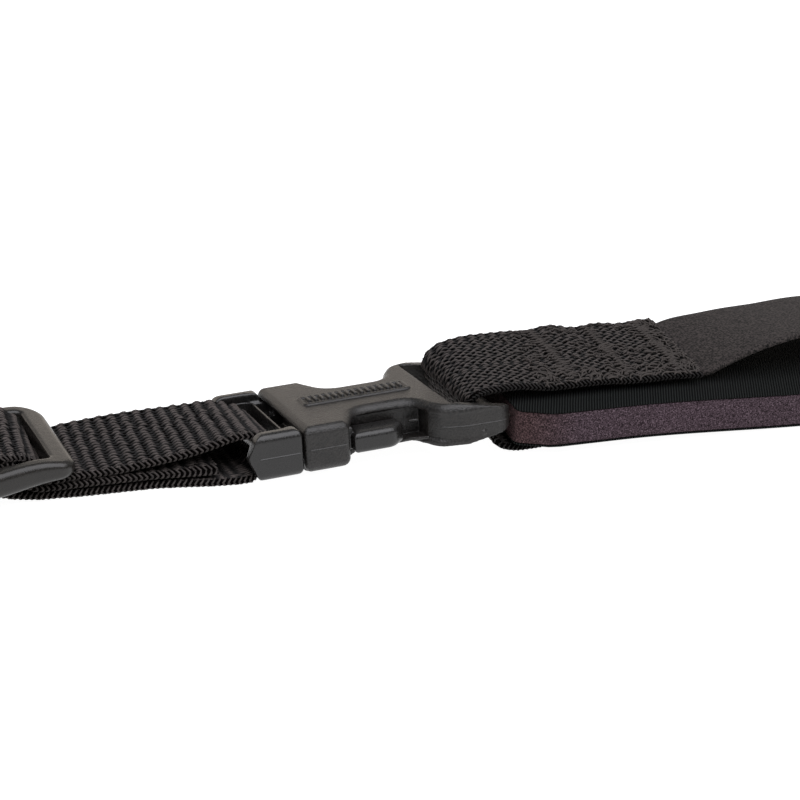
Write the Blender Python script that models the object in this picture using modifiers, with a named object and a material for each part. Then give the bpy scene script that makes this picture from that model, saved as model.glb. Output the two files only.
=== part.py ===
"""Camera neck strap: a foam neck pad with a control band over it, and at each end a webbing loop, a clipped
side-release buckle, adjustable webbing with a tri-glide slider, and a sewn eye for the camera.
Metres, +Z up. The strap lies straight along X on z = 0, centred on the pad. Its left end (-X) is modelled,
and the right end is its mirror image. Sections are worked out in the left end's own x, which is negative."""

import math

import bmesh
import bpy
from mathutils import Matrix, Vector

# Neck pad
PAD_HALF_LENGTH = 0.2925
PAD_END_HALF_WIDTH = 0.0175
PAD_MIDDLE_HALF_WIDTH = 0.034
PAD_TIP_RADIUS = 0.008
PAD_PARALLEL = 0.070          # from the tip to where the pad starts to widen
PAD_WIDEST_FROM = 0.215       # from the tip to where the pad is at its full width
PAD_TILT = 9.0                # degrees, back edge up, over the sewn ends
PAD_TILT_HELD = 0.060         # from the tip, the length over which the whole tilt is held
PAD_FLAT_FROM = 0.175         # from the tip to where the pad lies flat
FOAM_THICKNESS = 0.0060
JERSEY_THICKNESS = 0.0005
LAYER_GAP = 0.0002
SEAT_GAP = 0.0003             # between pieces that rest on each other
BAR_GAP = 0.0004              # between a round bar and the webbing round it
LOOP_GAP = 0.0009             # between the slider's flat bar and the webbing sewn round it
PAD_COLUMNS = 4
PAD_LIFT = 0.0011             # of the tip's front edge, over the webbing's lower leg
PAD_LIFT_HELD = 0.050         # from the tip, the length over which the whole lift is held
PAD_DOWN_FROM = 0.110         # from the tip to where the front edge rests
PAD_HALF_THICKNESS = FOAM_THICKNESS / 2 + LAYER_GAP + JERSEY_THICKNESS

# Webbing
WEB_THICKNESS = 0.0014
STRAP_WIDTH = 0.020
PAD_WEB_WIDTH = 0.025
BAND_WIDTH = 0.023
BAND_THICKNESS = 0.0010
FOLD_GAP = 0.00015            # between two layers of one webbing that are sewn together
GROUND_GAP = 0.0001           # of the webbing over the surface that the pad rests on
RUN_STEP = 0.0030             # length of webbing between two sections
WEB_CUT_X = -0.2550           # sewn upper end of the pad end webbing
LOWER_CUT_X = -0.2500
TAIL_CUT_X = -0.3505          # cut end of the webbing that is sewn round the slider's bar

# Buckle, in its own frame: s runs from the mouth towards the pad, h is the height over the parting plane
MOUTH = (-0.3356, -0.0006, 0.0058)
BUCKLE_PITCH = 3.2            # degrees, pad end up
BUCKLE_YAW = 1.2              # degrees, pad end back
BUCKLE_HALF_HEIGHT = 0.0041
SOCKET_LENGTH = 0.0397
GRIP_HALF_WIDTH = 0.0140      # socket block at the mouth, and plug base
GRIP_LENGTH = 0.0087
WAIST_TOP_HALF = 0.0075
WAIST_UNDER_HALF = 0.0108
WAIST_END = 0.0212
TAIL_HALF_WIDTH = 0.0155      # socket block at the webbing slot
SHELL = 0.0015                # plate over and under the cavity
CAVITY_HALF_WIDTH = 0.0122
CAVITY_END = 0.0235
SLOT_START = 0.0287
SLOT_END = 0.0357
SLOT_HALF_WIDTH = 0.0133
END_BAR = (0.0375, 0.0015)    # its s and radius
EDGE_ROUND = 0.0009
LABEL_START = 0.0024
LABEL_END = 0.0244
LABEL_HALF_WIDTH = 0.0025
LABEL_RISE = 0.0005

PLUG_START = -0.0081
PLUG_END = -0.0003
PLUG_BAR = (-0.0068, 0.0013)
PLUG_WINDOW_END = -0.0021
PLUG_WINDOW_HALF = 0.0112
ARM_HALF_HEIGHT = 0.0022
ARM_INNER = 0.0080
ARM_OUTER = 0.0116
TAB_START = 0.0091
TAB_END = 0.0179
TAB_OUTER = 0.0138
TONGUE_HALF_WIDTH = 0.0030
TONGUE_END = 0.0200

# Slider, in its own frame: dx runs towards the pad from the middle of its centre bar
SLIDER_AT = (-0.3906, 0.0004, 0.0055)
SLIDER_ROLL = 4.5             # degrees, back edge up
SLIDER_HALF_LENGTH = 0.0130
SLIDER_HALF_WIDTH = 0.0143
SLIDER_HALF_HEIGHT = 0.0017
SLIDER_CORNER = 0.0050
SLIDER_STEP = 0.0020          # rise of the pad end over the camera end, in a soft bend
SLIDER_STEP_FROM = -0.0060
SLIDER_STEP_TO = 0.0090
SLIDER_SWELL = 1.35           # of its height at the middle, easing to SLIDER_THIN at both ends
SLIDER_THIN = 0.75
SLIDER_WINDOW = (0.0016, 0.0087)
SLIDER_WINDOW_HALF = 0.0109
SLIDER_BAR_HALF_HEIGHT = 0.0006
SLIDER_CUTS = 8
WINDOW_INNER_ROUND = 0.0004   # corners beside the centre bar
WINDOW_OUTER_ROUND = 0.0012

PAST = 0.005                  # length of a cutter beyond the face that it cuts
OVERLAP = 0.001               # of pieces that are joined into one
SHARP_FROM = 35.0             # degrees, edges of hard pieces that stay sharp

# Camera end
EYE_X = -0.4720               # middle of the eye's round
EYE_RADIUS = 0.0045
EYE_SEAT = 0.0030             # straight run at the eye's far side, where the camera's ring bears
EYE_TAIL_X = -0.4300          # cut end of the sewn fold

MATERIALS = (
    # name, colour, roughness
    ("foam", (0.095, 0.075, 0.090), 0.90),
    ("top_jersey", (0.007, 0.009, 0.008), 0.90),
    ("bottom_jersey", (0.007, 0.008, 0.008), 0.90),
    ("control_band", (0.040, 0.034, 0.031), 0.80),
    ("pad_webbing", (0.026, 0.022, 0.021), 0.85),
    ("strap_webbing", (0.026, 0.022, 0.021), 0.85),
    ("socket_plastic", (0.055, 0.052, 0.050), 0.55),
    ("plug_plastic", (0.050, 0.048, 0.048), 0.50),
    ("slider_plastic", (0.062, 0.060, 0.060), 0.45),
)


def clear_scene():
    for obj in list(bpy.data.objects):
        bpy.data.objects.remove(obj, do_unlink=True)


def make_collection(name):
    collection = bpy.data.collections.new(name)
    bpy.context.scene.collection.children.link(collection)
    return collection


def make_material(name, colour, roughness):
    material = bpy.data.materials.new(name)
    material.use_nodes = True
    shader = material.node_tree.nodes["Principled BSDF"]
    shader.inputs["Base Color"].default_value = (*colour, 1.0)
    shader.inputs["Roughness"].default_value = roughness
    shader.inputs["Metallic"].default_value = 0.0
    return material


def add_object(name, mesh, material, collection):
    obj = bpy.data.objects.new(name, mesh)
    if material:
        mesh.materials.append(material)
    collection.objects.link(obj)
    return obj


def baked(obj):
    """The object's evaluated mesh in place of its modifiers and its transform."""
    bpy.context.view_layer.update()
    graph = bpy.context.evaluated_depsgraph_get()
    mesh = bpy.data.meshes.new_from_object(obj.evaluated_get(graph))
    mesh.transform(obj.matrix_world)
    work = bmesh.new()
    work.from_mesh(mesh)
    bmesh.ops.remove_doubles(work, verts=work.verts, dist=1e-6)
    work.to_mesh(mesh)
    work.free()
    name, collection = obj.name, obj.users_collection[0]
    bpy.data.objects.remove(obj, do_unlink=True)
    mesh.name = name
    placed = bpy.data.objects.new(name, mesh)
    collection.objects.link(placed)
    return placed


def smooth_step(value, low, high):
    t = min(max((value - low) / (high - low), 0.0), 1.0)
    return t * t * (3.0 - 2.0 * t)


def smooth_path(rows, step):
    """Catmull-Rom samples through rows of numbers whose first two are x and z."""
    points = [Vector(row) for row in rows]
    ends = [points[0] * 2 - points[1], *points, points[-1] * 2 - points[-2]]
    path = []
    for before, start, end, after in zip(ends, ends[1:], ends[2:], ends[3:]):
        length = math.hypot(end[0] - start[0], end[1] - start[1])
        count = max(1, round(length / step))
        for i in range(count):
            t = i / count
            path.append(
                0.5 * (
                    2 * start
                    + (end - before) * t
                    + (2 * before - 5 * start + 4 * end - after) * t**2
                    + (3 * start - before - 3 * end + after) * t**3
                )
            )
    path.append(points[-1])
    return path


def wrap_rows(centre, radius, first, last, roll, every=22.5):
    """Rows of x, z and roll along an arc in the XZ plane, from angle first to angle last in degrees."""
    count = max(1, round(abs(last - first) / every))
    rows = []
    for i in range(count + 1):
        angle = math.radians(first + (last - first) * i / count)
        rows.append((centre[0] + radius * math.cos(angle), centre[1] + radius * math.sin(angle), roll))
    return rows


def ribbon(name, rows, width, thickness, material, collection):
    """Webbing whose middle line runs through rows of x, z and roll in degrees (back edge up)."""
    work = bmesh.new()
    edges = []
    for x, z, roll in smooth_path(rows, RUN_STEP):
        across = Vector((0.0, math.cos(math.radians(roll)), math.sin(math.radians(roll)))) * (width / 2)
        middle = Vector((x, 0.0, z))
        edges.append((work.verts.new(middle - across), work.verts.new(middle + across)))
    for (front, back), (next_front, next_back) in zip(edges, edges[1:]):
        work.faces.new((front, next_front, next_back, back))
    mesh = bpy.data.meshes.new(name)
    work.to_mesh(mesh)
    work.free()
    obj = add_object(name, mesh, material, collection)
    solid = obj.modifiers.new("thickness", "SOLIDIFY")
    solid.thickness = thickness
    solid.offset = 0.0
    solid.use_even_offset = True
    solid.use_quality_normals = True
    return baked(obj)


def pad_half_width(u):
    """Half the pad's width at u from its tip."""
    widening = smooth_step(u, PAD_PARALLEL, PAD_WIDEST_FROM)
    width = PAD_END_HALF_WIDTH + (PAD_MIDDLE_HALF_WIDTH - PAD_END_HALF_WIDTH) * widening
    if u < PAD_TIP_RADIUS:
        width -= PAD_TIP_RADIUS - math.sqrt(PAD_TIP_RADIUS**2 - (PAD_TIP_RADIUS - u) ** 2)
    return width


def pad_tilt(u):
    return math.radians(PAD_TILT) * (1.0 - smooth_step(u, PAD_TILT_HELD, PAD_FLAT_FROM))


def pad_middle_height(u):
    """Height of the pad's middle plane over its middle line, so that its front edge rests on z = 0."""
    tilt = pad_tilt(u)
    lift = PAD_LIFT * (1.0 - smooth_step(u, PAD_LIFT_HELD, PAD_DOWN_FROM))
    full_width = pad_half_width(max(u, PAD_TIP_RADIUS))
    return lift + PAD_HALF_THICKNESS * math.cos(tilt) + full_width * math.sin(tilt)


def pad_top_height(x):
    """Height of the pad's top face over its middle line."""
    u = x + PAD_HALF_LENGTH
    return pad_middle_height(u) + PAD_HALF_THICKNESS / math.cos(pad_tilt(u))


def pad_stations():
    """Distances from the left tip to the right tip: close over the round tips, wider along the pad."""
    tip = [PAD_TIP_RADIUS * (1.0 - math.cos(math.radians(a))) for a in range(0, 90, 18)]
    along = [PAD_TIP_RADIUS + (PAD_HALF_LENGTH - PAD_TIP_RADIUS) * i / 15 for i in range(16)]
    half = tip + along
    return half + [2 * PAD_HALF_LENGTH - u for u in reversed(half[:-1])]


def pad_layer(name, level, thickness, material, collection):
    """A layer of the pad, level above its middle plane."""
    work = bmesh.new()
    rows = []
    for station in pad_stations():
        u = min(station, 2 * PAD_HALF_LENGTH - station)
        tilt = pad_tilt(u)
        across = Vector((0.0, math.cos(tilt), math.sin(tilt)))
        up = Vector((0.0, -math.sin(tilt), math.cos(tilt)))
        middle = Vector((station - PAD_HALF_LENGTH, 0.0, pad_middle_height(u))) + up * level
        width = pad_half_width(u)
        fractions = [2.0 * i / PAD_COLUMNS - 1.0 for i in range(PAD_COLUMNS + 1)]
        rows.append([work.verts.new(middle + across * width * f) for f in fractions])
    for row, following in zip(rows, rows[1:]):
        for i in range(PAD_COLUMNS):
            work.faces.new((row[i], following[i], following[i + 1], row[i + 1]))
    mesh = bpy.data.meshes.new(name)
    work.to_mesh(mesh)
    work.free()
    obj = add_object(name, mesh, material, collection)
    solid = obj.modifiers.new("thickness", "SOLIDIFY")
    solid.thickness = thickness
    solid.offset = 0.0
    solid.use_even_offset = True
    return baked(obj)


def build_pad(materials, collection):
    jersey_level = FOAM_THICKNESS / 2 + LAYER_GAP + JERSEY_THICKNESS / 2
    pad_layer("pad_foam_core", 0.0, FOAM_THICKNESS, materials["foam"], collection)
    pad_layer("pad_jersey_top", jersey_level, JERSEY_THICKNESS, materials["top_jersey"], collection)
    pad_layer("pad_jersey_bottom", -jersey_level, JERSEY_THICKNESS, materials["bottom_jersey"], collection)


def band_rows():
    """Left half of the control band: sewn down at its end, then lifted off the pad and laid down again."""
    columns = ("x", "lift", "roll")
    table = (
        (-0.2840, 0.0000, 9.0),
        (-0.2700, 0.0000, 9.0),
        (-0.2600, 0.0000, 9.0),
        (-0.2550, 0.0001, 9.0),
        (-0.2505, 0.0018, 11.0),
        (-0.2450, 0.0033, 10.0),
        (-0.2395, 0.0045, 7.0),
        (-0.2330, 0.0053, 4.0),
        (-0.2200, 0.0056, 2.5),
        (-0.1950, 0.0045, 2.0),
        (-0.1600, 0.0016, 1.0),
        (-0.1250, 0.0001, 0.0),
        (-0.0800, 0.0000, 0.0),
        (-0.0300, 0.0000, 0.0),
    )
    rows = []
    for values in table:
        row = dict(zip(columns, values))
        seat = pad_top_height(row["x"]) + SEAT_GAP + BAND_THICKNESS / 2
        rows.append((row["x"], seat + row["lift"], row["roll"]))
    return rows


def build_band(material, collection):
    left = band_rows()
    right = [(-x, z, roll) for x, z, roll in reversed(left)]
    ribbon("stretch_control_band", left + right, BAND_WIDTH, BAND_THICKNESS, material, collection)


def end_bar_place():
    return buckle_frame() @ Vector((END_BAR[0], 0.0, 0.0))


def plug_bar_place():
    return buckle_frame() @ Vector((PLUG_BAR[0], 0.0, 0.0))


def pad_web_rows():
    """Upper leg from its sewn end, over the bulge, round the socket's bar, and back under the pad."""
    bar_place = end_bar_place()
    radius = END_BAR[1] + BAR_GAP + WEB_THICKNESS / 2
    over_band = SEAT_GAP * 2 + BAND_THICKNESS + WEB_THICKNESS / 2
    columns = ("x", "lift", "roll")  # the lift is over the band, or over the underside of the pad
    upper = (
        (WEB_CUT_X, 0.0003, 9.0),
        (-0.2610, 0.0003, 9.0),
        (-0.2690, 0.0000, 9.0),
        (-0.2760, 0.0004, 9.0),
        (-0.2850, 0.0003, 9.0),
    )
    rows = []
    for values in upper:
        row = dict(zip(columns, values))
        rows.append((row["x"], pad_top_height(row["x"]) + over_band + row["lift"], row["roll"]))
    crest = rows[-1][1]
    rows += [
        (bar_place.x + 0.0050, crest, 8.0),
        (bar_place.x + 0.0016, crest - 0.0006, 6.0),
        (bar_place.x - 0.0010, crest - 0.0024, 3.0),
    ]
    rows += wrap_rows((bar_place.x, bar_place.z), radius, 170, 250, 0.0)
    lower = (
        (-0.2963, 0.0014, 4.0),
        (-0.2937, 0.0000, 9.0),
        (-0.2900, 0.0000, 9.0),
        (-0.2800, 0.0000, 9.0),
        (-0.2650, 0.0000, 9.0),
        (LOWER_CUT_X, 0.0000, 9.0),
    )
    for values in lower:
        row = dict(zip(columns, values))
        u = max(row["x"] + PAD_HALF_LENGTH, 0.0)
        under = pad_middle_height(u) - PAD_HALF_THICKNESS / math.cos(pad_tilt(u))
        rows.append((row["x"], under - SEAT_GAP - WEB_THICKNESS / 2 + row["lift"], row["roll"]))
    return rows


def strap_rows():
    """From the tail's cut end round the slider's bar, round the plug's bar, through the slider to the eye."""
    plug_bar = plug_bar_place()
    plug_radius = PLUG_BAR[1] + BAR_GAP + WEB_THICKNESS / 2
    layer = WEB_THICKNESS + FOLD_GAP
    ground = WEB_THICKNESS / 2 + GROUND_GAP
    bar_x = SLIDER_AT[0]
    bar_z = SLIDER_AT[2] + slider_rise(0.0)
    loop_radius = SLIDER_BAR_HALF_HEIGHT * SLIDER_SWELL + LOOP_GAP + WEB_THICKNESS / 2
    loop_x = bar_x - SLIDER_WINDOW[0] + loop_radius - LOOP_GAP - WEB_THICKNESS / 2
    over_radius = loop_radius + layer + FOLD_GAP
    tail = [
        # x, z, roll
        (TAIL_CUT_X, ground + layer + 0.0007, 2.0),
        (-0.3620, ground + layer + 0.0006, 2.5),
        (-0.3740, ground + layer + 0.0007, 3.0),
        (bar_x + 0.0105, ground + layer + 0.0007, 3.5),
        (bar_x + 0.0070, ground + layer + 0.0009, 4.0),
        (bar_x + 0.0052, bar_z - 0.0020, 4.5),
        (bar_x + 0.0037, bar_z - 0.0001, 4.5),
        (bar_x + 0.0026, bar_z + 0.0014, 4.5),
        (bar_x + 0.0010, bar_z + loop_radius - 0.0001, 4.5),
    ]
    loop = wrap_rows((loop_x, bar_z), loop_radius, 95, 265, 4.5)
    under_leg = [
        # x, z, roll
        (bar_x + 0.0018, bar_z - loop_radius - 0.0002, 4.5),
        (bar_x + 0.0044, bar_z - loop_radius - 0.0013, 3.5),
        (bar_x + 0.0070, ground + 0.0006, 2.0),
        (bar_x + 0.0105, ground + 0.0003, 1.0),
        (-0.3740, ground + 0.0002, 1.0),
        (-0.3560, ground + 0.0002, 1.0),
        (-0.3490, ground + 0.0004, 1.0),
    ]
    turn = wrap_rows((plug_bar.x, plug_bar.z), plug_radius, -75, 80, 0.0)
    upper_leg = [
        # x, z, roll
        (-0.3466, 0.0078, 2.5),
        (-0.3510, 0.0073, 5.0),
        (-0.3560, 0.0067, 7.5),
        (-0.3620, 0.0061, 8.5),
        (-0.3690, 0.0054, 8.0),
        (-0.3760, 0.0049, 5.5),
        (bar_x + 0.0108, 0.0046, 5.0),
        (bar_x + 0.0086, 0.0046, 4.5),
        (bar_x + 0.0064, 0.0058, 4.5),
        (bar_x + 0.0044, 0.0080, 4.5),
        (bar_x + 0.0020, bar_z + over_radius - 0.0004, 4.5),
        (bar_x + 0.0004, bar_z + over_radius, 4.5),
    ]
    over = wrap_rows((loop_x, bar_z), over_radius, 95, 185, 4.5)
    onward = [
        # x, z, roll
        (bar_x - 0.0062, 0.0036, 4.5),
        (bar_x - 0.0082, 0.0021, 4.5),
        (bar_x - 0.0110, 0.0017, 4.5),
        (bar_x - 0.0150, 0.0014, 3.5),
        (bar_x - 0.0220, 0.0009, 1.0),
        (-0.4220, ground, 0.0),
        (-0.4500, ground, 0.0),
        (EYE_X + 0.0080, ground, 0.0),
    ]
    eye = wrap_rows((EYE_X, ground + EYE_RADIUS), EYE_RADIUS, -90, -180, 0.0)
    eye += wrap_rows((EYE_X, ground + EYE_RADIUS + EYE_SEAT), EYE_RADIUS, -180, -270, 0.0)
    top = ground + 2 * EYE_RADIUS + EYE_SEAT
    fold = [
        # x, z, roll
        (EYE_X + 0.0060, top - 0.0022, 0.0),
        (EYE_X + 0.0125, ground + layer + 0.0024, 0.0),
        (EYE_X + 0.0190, ground + layer, 0.0),
        (EYE_TAIL_X, ground + layer, 0.0),
    ]
    return tail + loop + under_leg + turn + upper_leg + over + onward + eye + fold


def buckle_frame():
    yaw = Matrix.Rotation(math.radians(BUCKLE_YAW), 4, "Z")
    pitch = Matrix.Rotation(-math.radians(BUCKLE_PITCH), 4, "Y")
    return Matrix.Translation(MOUTH) @ yaw @ pitch


def rounded(rows, steps=3):
    """The outline of rows of x, y and radius, with each corner turned into an arc of its radius."""
    result = []
    points = [Vector(row[:2]) for row in rows]
    count = len(points)
    for i, corner in enumerate(points):
        radius = rows[i][2]
        if radius == 0.0:
            result.append(corner)
            continue
        back = (points[i - 1] - corner).normalized()
        ahead = (points[(i + 1) % count] - corner).normalized()
        half = back.angle(ahead) / 2
        reach = radius / math.tan(half)
        centre = corner + (back + ahead).normalized() * (radius / math.sin(half))
        start = (corner + back * reach - centre).normalized()
        end = (corner + ahead * reach - centre).normalized()
        for j in range(steps + 1):
            result.append(centre + start.slerp(end, j / steps) * radius)
    return result


def prism(name, outline, low, high, collection, bevel=0.0):
    """A closed solid of the outline between two heights, its long edges rounded by a bevel."""
    work = bmesh.new()
    bottom = [work.verts.new((x, y, low)) for x, y in outline]
    top = [work.verts.new((x, y, high)) for x, y in outline]
    count = len(outline)
    work.faces.new(reversed(bottom))
    work.faces.new(top)
    for i in range(count):
        j = (i + 1) % count
        work.faces.new((bottom[i], bottom[j], top[j], top[i]))
    bmesh.ops.recalc_face_normals(work, faces=work.faces)
    if bevel:
        rims = [edge for edge in work.edges if abs(edge.verts[0].co.z - edge.verts[1].co.z) < 1e-9]
        bmesh.ops.bevel(work, geom=rims, offset=bevel, segments=2, profile=0.5, affect="EDGES")
    mesh = bpy.data.meshes.new(name)
    work.to_mesh(mesh)
    work.free()
    return add_object(name, mesh, None, collection)


def box(name, low, high, collection, bevel=0.0):
    outline = [(low[0], low[1]), (high[0], low[1]), (high[0], high[1]), (low[0], high[1])]
    return prism(name, outline, low[2], high[2], collection, bevel)


def bar(name, s, half_length, radius, collection, sides=12):
    """A round bar along Y."""
    work = bmesh.new()
    bmesh.ops.create_cone(
        work, cap_ends=True, segments=sides, radius1=radius, radius2=radius, depth=2 * half_length,
        matrix=Matrix.Translation((s, 0, 0)) @ Matrix.Rotation(math.radians(90), 4, "X"),
    )
    mesh = bpy.data.meshes.new(name)
    work.to_mesh(mesh)
    work.free()
    return add_object(name, mesh, None, collection)


def combine(obj, operation, others):
    for other in others:
        other.hide_render = True
        other.display_type = "WIRE"
        modifier = obj.modifiers.new(other.name, "BOOLEAN")
        modifier.operation = operation
        modifier.solver = "EXACT"
        modifier.object = other


def both_sides(rows):
    """The outline of a shape that is the same on both sides of its s axis, from its front side's rows."""
    return rows + [(s, -y, radius) for s, y, radius in reversed(rows)]


def build_socket(material, collection, cutters):
    half = [
        # s, y, corner radius
        (0.0, -GRIP_HALF_WIDTH, 0.0006),
        (GRIP_LENGTH, -GRIP_HALF_WIDTH, 0.0012),
        (GRIP_LENGTH + 0.0006, -WAIST_UNDER_HALF, 0.0004),
        (WAIST_END, -WAIST_UNDER_HALF, 0.0020),
        (WAIST_END + 0.0040, -TAIL_HALF_WIDTH + 0.0010, 0.0030),
        (WAIST_END + 0.0080, -TAIL_HALF_WIDTH, 0.0),
        (SOCKET_LENGTH, -TAIL_HALF_WIDTH, 0.0035),
    ]
    outline = rounded(both_sides(half))
    top = BUCKLE_HALF_HEIGHT
    socket = prism("buckle_socket_left", outline, -top, top, collection, EDGE_ROUND)
    socket.data.materials.append(material)

    inside = top - SHELL
    window = [
        # s, y, corner radius
        (GRIP_LENGTH, -WAIST_TOP_HALF, 0.0008),
        (WAIST_END, -WAIST_TOP_HALF, 0.0015),
        (WAIST_END + 0.0018, -WAIST_TOP_HALF - 0.0040, 0.0),
        (WAIST_END + 0.0045, -TAIL_HALF_WIDTH + 0.0008, 0.0),
        (WAIST_END + 0.0085, -TAIL_HALF_WIDTH - 0.0003, 0.0),
        (WAIST_END + 0.0085, -TAIL_HALF_WIDTH - PAST, 0.0),
        (GRIP_LENGTH, -TAIL_HALF_WIDTH - PAST, 0.0),
    ]
    windows = []
    for name, way in (("window_front", 1), ("window_back", -1)):
        shape = rounded([(s, y * way, radius) for s, y, radius in window])
        windows.append(prism(name, shape, -inside, top + PAST, cutters))
    cavity_low = (-PAST, -CAVITY_HALF_WIDTH, -inside)
    cavity_high = (GRIP_LENGTH + OVERLAP, CAVITY_HALF_WIDTH, inside)
    cavity = box("cavity", cavity_low, cavity_high, cutters)
    hollow_low = (GRIP_LENGTH, -WAIST_UNDER_HALF - PAST, -inside)
    hollow_high = (CAVITY_END, WAIST_UNDER_HALF + PAST, inside)
    hollow = box("hollow", hollow_low, hollow_high, cutters)
    slot_high = (SLOT_END + PAST, SLOT_HALF_WIDTH, PAST)
    slot = box("slot", (SLOT_START, -SLOT_HALF_WIDTH, -PAST), slot_high, cutters)
    combine(socket, "DIFFERENCE", windows + [cavity, hollow, slot])
    end_bar = bar("end_bar", END_BAR[0], SLOT_HALF_WIDTH + OVERLAP, END_BAR[1], cutters)
    label_low = (LABEL_START, -LABEL_HALF_WIDTH, inside + SHELL / 2)
    label_high = (LABEL_END, LABEL_HALF_WIDTH, top + LABEL_RISE)
    label = box("label_plate", label_low, label_high, cutters)
    combine(socket, "UNION", [end_bar, label])
    socket = baked(socket)
    socket.matrix_world = buckle_frame()
    return socket


def build_plug(material, collection, cutters):
    half = [
        # s, y, corner radius
        (PLUG_START, -GRIP_HALF_WIDTH, 0.0024),
        (PLUG_END, -GRIP_HALF_WIDTH, 0.0005),
    ]
    outline = rounded(both_sides(half))
    top = BUCKLE_HALF_HEIGHT
    plug = prism("buckle_plug_left", outline, -top, top, collection, EDGE_ROUND)
    plug.data.materials.append(material)
    window_low = (PLUG_START - PAST, -PLUG_WINDOW_HALF, -PAST)
    window_high = (PLUG_WINDOW_END, PLUG_WINDOW_HALF, PAST)
    combine(plug, "DIFFERENCE", [box("plug_window", window_low, window_high, cutters)])
    parts = [bar("plug_bar", PLUG_BAR[0], PLUG_WINDOW_HALF + OVERLAP, PLUG_BAR[1], cutters)]
    root = PLUG_END - OVERLAP
    arm = [
        # s, y
        (root, -ARM_OUTER),
        (TAB_START, -ARM_OUTER),
        (TAB_START, -TAB_OUTER),
        (TAB_END - 0.0020, -TAB_OUTER),
        (TAB_END, -TAB_OUTER + 0.0022),
        (TAB_END, -ARM_INNER),
        (root, -ARM_INNER),
    ]
    for name, way in (("arm_front", 1), ("arm_back", -1)):
        shape = [(s, y * way) for s, y in arm]
        parts.append(prism(name, shape, -ARM_HALF_HEIGHT, ARM_HALF_HEIGHT, cutters))
    tongue_low = (root, -TONGUE_HALF_WIDTH, -ARM_HALF_HEIGHT)
    tongue_high = (TONGUE_END, TONGUE_HALF_WIDTH, ARM_HALF_HEIGHT)
    parts.append(box("tongue", tongue_low, tongue_high, cutters))
    combine(plug, "UNION", parts)
    plug = baked(plug)
    plug.matrix_world = buckle_frame()
    return plug


def build_slider(material, collection, cutters):
    half = [(s, -SLIDER_HALF_WIDTH, SLIDER_CORNER) for s in (-SLIDER_HALF_LENGTH, SLIDER_HALF_LENGTH)]
    outline = rounded(both_sides(half), steps=5)
    slider = prism("slider_left", outline, -SLIDER_HALF_HEIGHT, SLIDER_HALF_HEIGHT, collection, EDGE_ROUND)
    slider.data.materials.append(material)
    near, far = SLIDER_WINDOW
    holes = []
    window = [(near, -SLIDER_WINDOW_HALF, WINDOW_INNER_ROUND), (far, -SLIDER_WINDOW_HALF, WINDOW_OUTER_ROUND)]
    for name, way in (("window_left", -1), ("window_right", 1)):
        shape = rounded([(s * way, y, radius) for s, y, radius in both_sides(window)], steps=2)
        holes.append(prism(name, shape, -PAST, PAST, cutters))
    over_bar = (SLIDER_BAR_HALF_HEIGHT, PAST)
    for name, low, high in (("over_bar", *over_bar), ("under_bar", -over_bar[1], -over_bar[0])):
        corner = (-near - OVERLAP, -SLIDER_WINDOW_HALF, low)
        holes.append(box(name, corner, (near + OVERLAP, SLIDER_WINDOW_HALF, high), cutters))
    combine(slider, "DIFFERENCE", holes)
    slider = baked(slider)
    bend_slider(slider)
    return slider


def slider_rise(dx):
    """Height of the bent slider's middle line over its left end."""
    return SLIDER_STEP * smooth_step(dx, SLIDER_STEP_FROM, SLIDER_STEP_TO)


def bend_slider(slider):
    """Swells the flat slider at its middle and bends it along its length."""
    work = bmesh.new()
    work.from_mesh(slider.data)
    for i in range(1, SLIDER_CUTS):
        cut = Vector((SLIDER_HALF_LENGTH * (2 * i / SLIDER_CUTS - 1) + 1e-5, 0, 0))
        everything = work.verts[:] + work.edges[:] + work.faces[:]
        bmesh.ops.bisect_plane(work, geom=everything, plane_co=cut, plane_no=(1, 0, 0))
    bmesh.ops.triangulate(work, faces=work.faces)
    for vertex in work.verts:
        x = vertex.co.x
        swell = SLIDER_SWELL + (SLIDER_THIN - SLIDER_SWELL) * (x / SLIDER_HALF_LENGTH) ** 2
        vertex.co.z = vertex.co.z * swell + slider_rise(x)
    work.to_mesh(slider.data)
    work.free()
    slider.matrix_world = Matrix.Translation(SLIDER_AT) @ Matrix.Rotation(math.radians(SLIDER_ROLL), 4, "X")


def build_left_end(materials, collection, cutters):
    pad_webbing = materials["pad_webbing"]
    strap_webbing = materials["strap_webbing"]
    pieces = [
        ribbon("pad_end_webbing_left", pad_web_rows(), PAD_WEB_WIDTH, WEB_THICKNESS, pad_webbing, collection),
        ribbon("strap_webbing_left", strap_rows(), STRAP_WIDTH, WEB_THICKNESS, strap_webbing, collection),
        build_socket(materials["socket_plastic"], collection, cutters),
        build_plug(materials["plug_plastic"], collection, cutters),
        build_slider(materials["slider_plastic"], collection, cutters),
    ]
    for piece in pieces[2:]:
        piece.data.shade_smooth()
        piece.data.set_sharp_from_angle(angle=math.radians(SHARP_FROM))
    return pieces


def mirror_right_end(pieces, collection):
    """The right end shares the left end's meshes, mirrored in x by an empty at the pad's middle."""
    right_end = bpy.data.objects.new("right_end", None)
    right_end.scale = (-1.0, 1.0, 1.0)
    collection.objects.link(right_end)
    for piece in pieces:
        copy = bpy.data.objects.new(piece.name.replace("_left", "_right"), piece.data)
        copy.parent = right_end
        copy.matrix_basis = piece.matrix_basis.copy()
        collection.objects.link(copy)


def main():
    clear_scene()
    collection = make_collection("camera_neck_strap")
    cutters = make_collection("cutters")
    cutters.hide_render = True
    materials = {name: make_material(name, colour, roughness) for name, colour, roughness in MATERIALS}
    build_pad(materials, collection)
    build_band(materials["control_band"], collection)
    mirror_right_end(build_left_end(materials, collection, cutters), collection)


main()
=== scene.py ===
import math
import random

import bmesh
import bpy
import numpy as np
from mathutils import Matrix, Vector, noise


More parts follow.
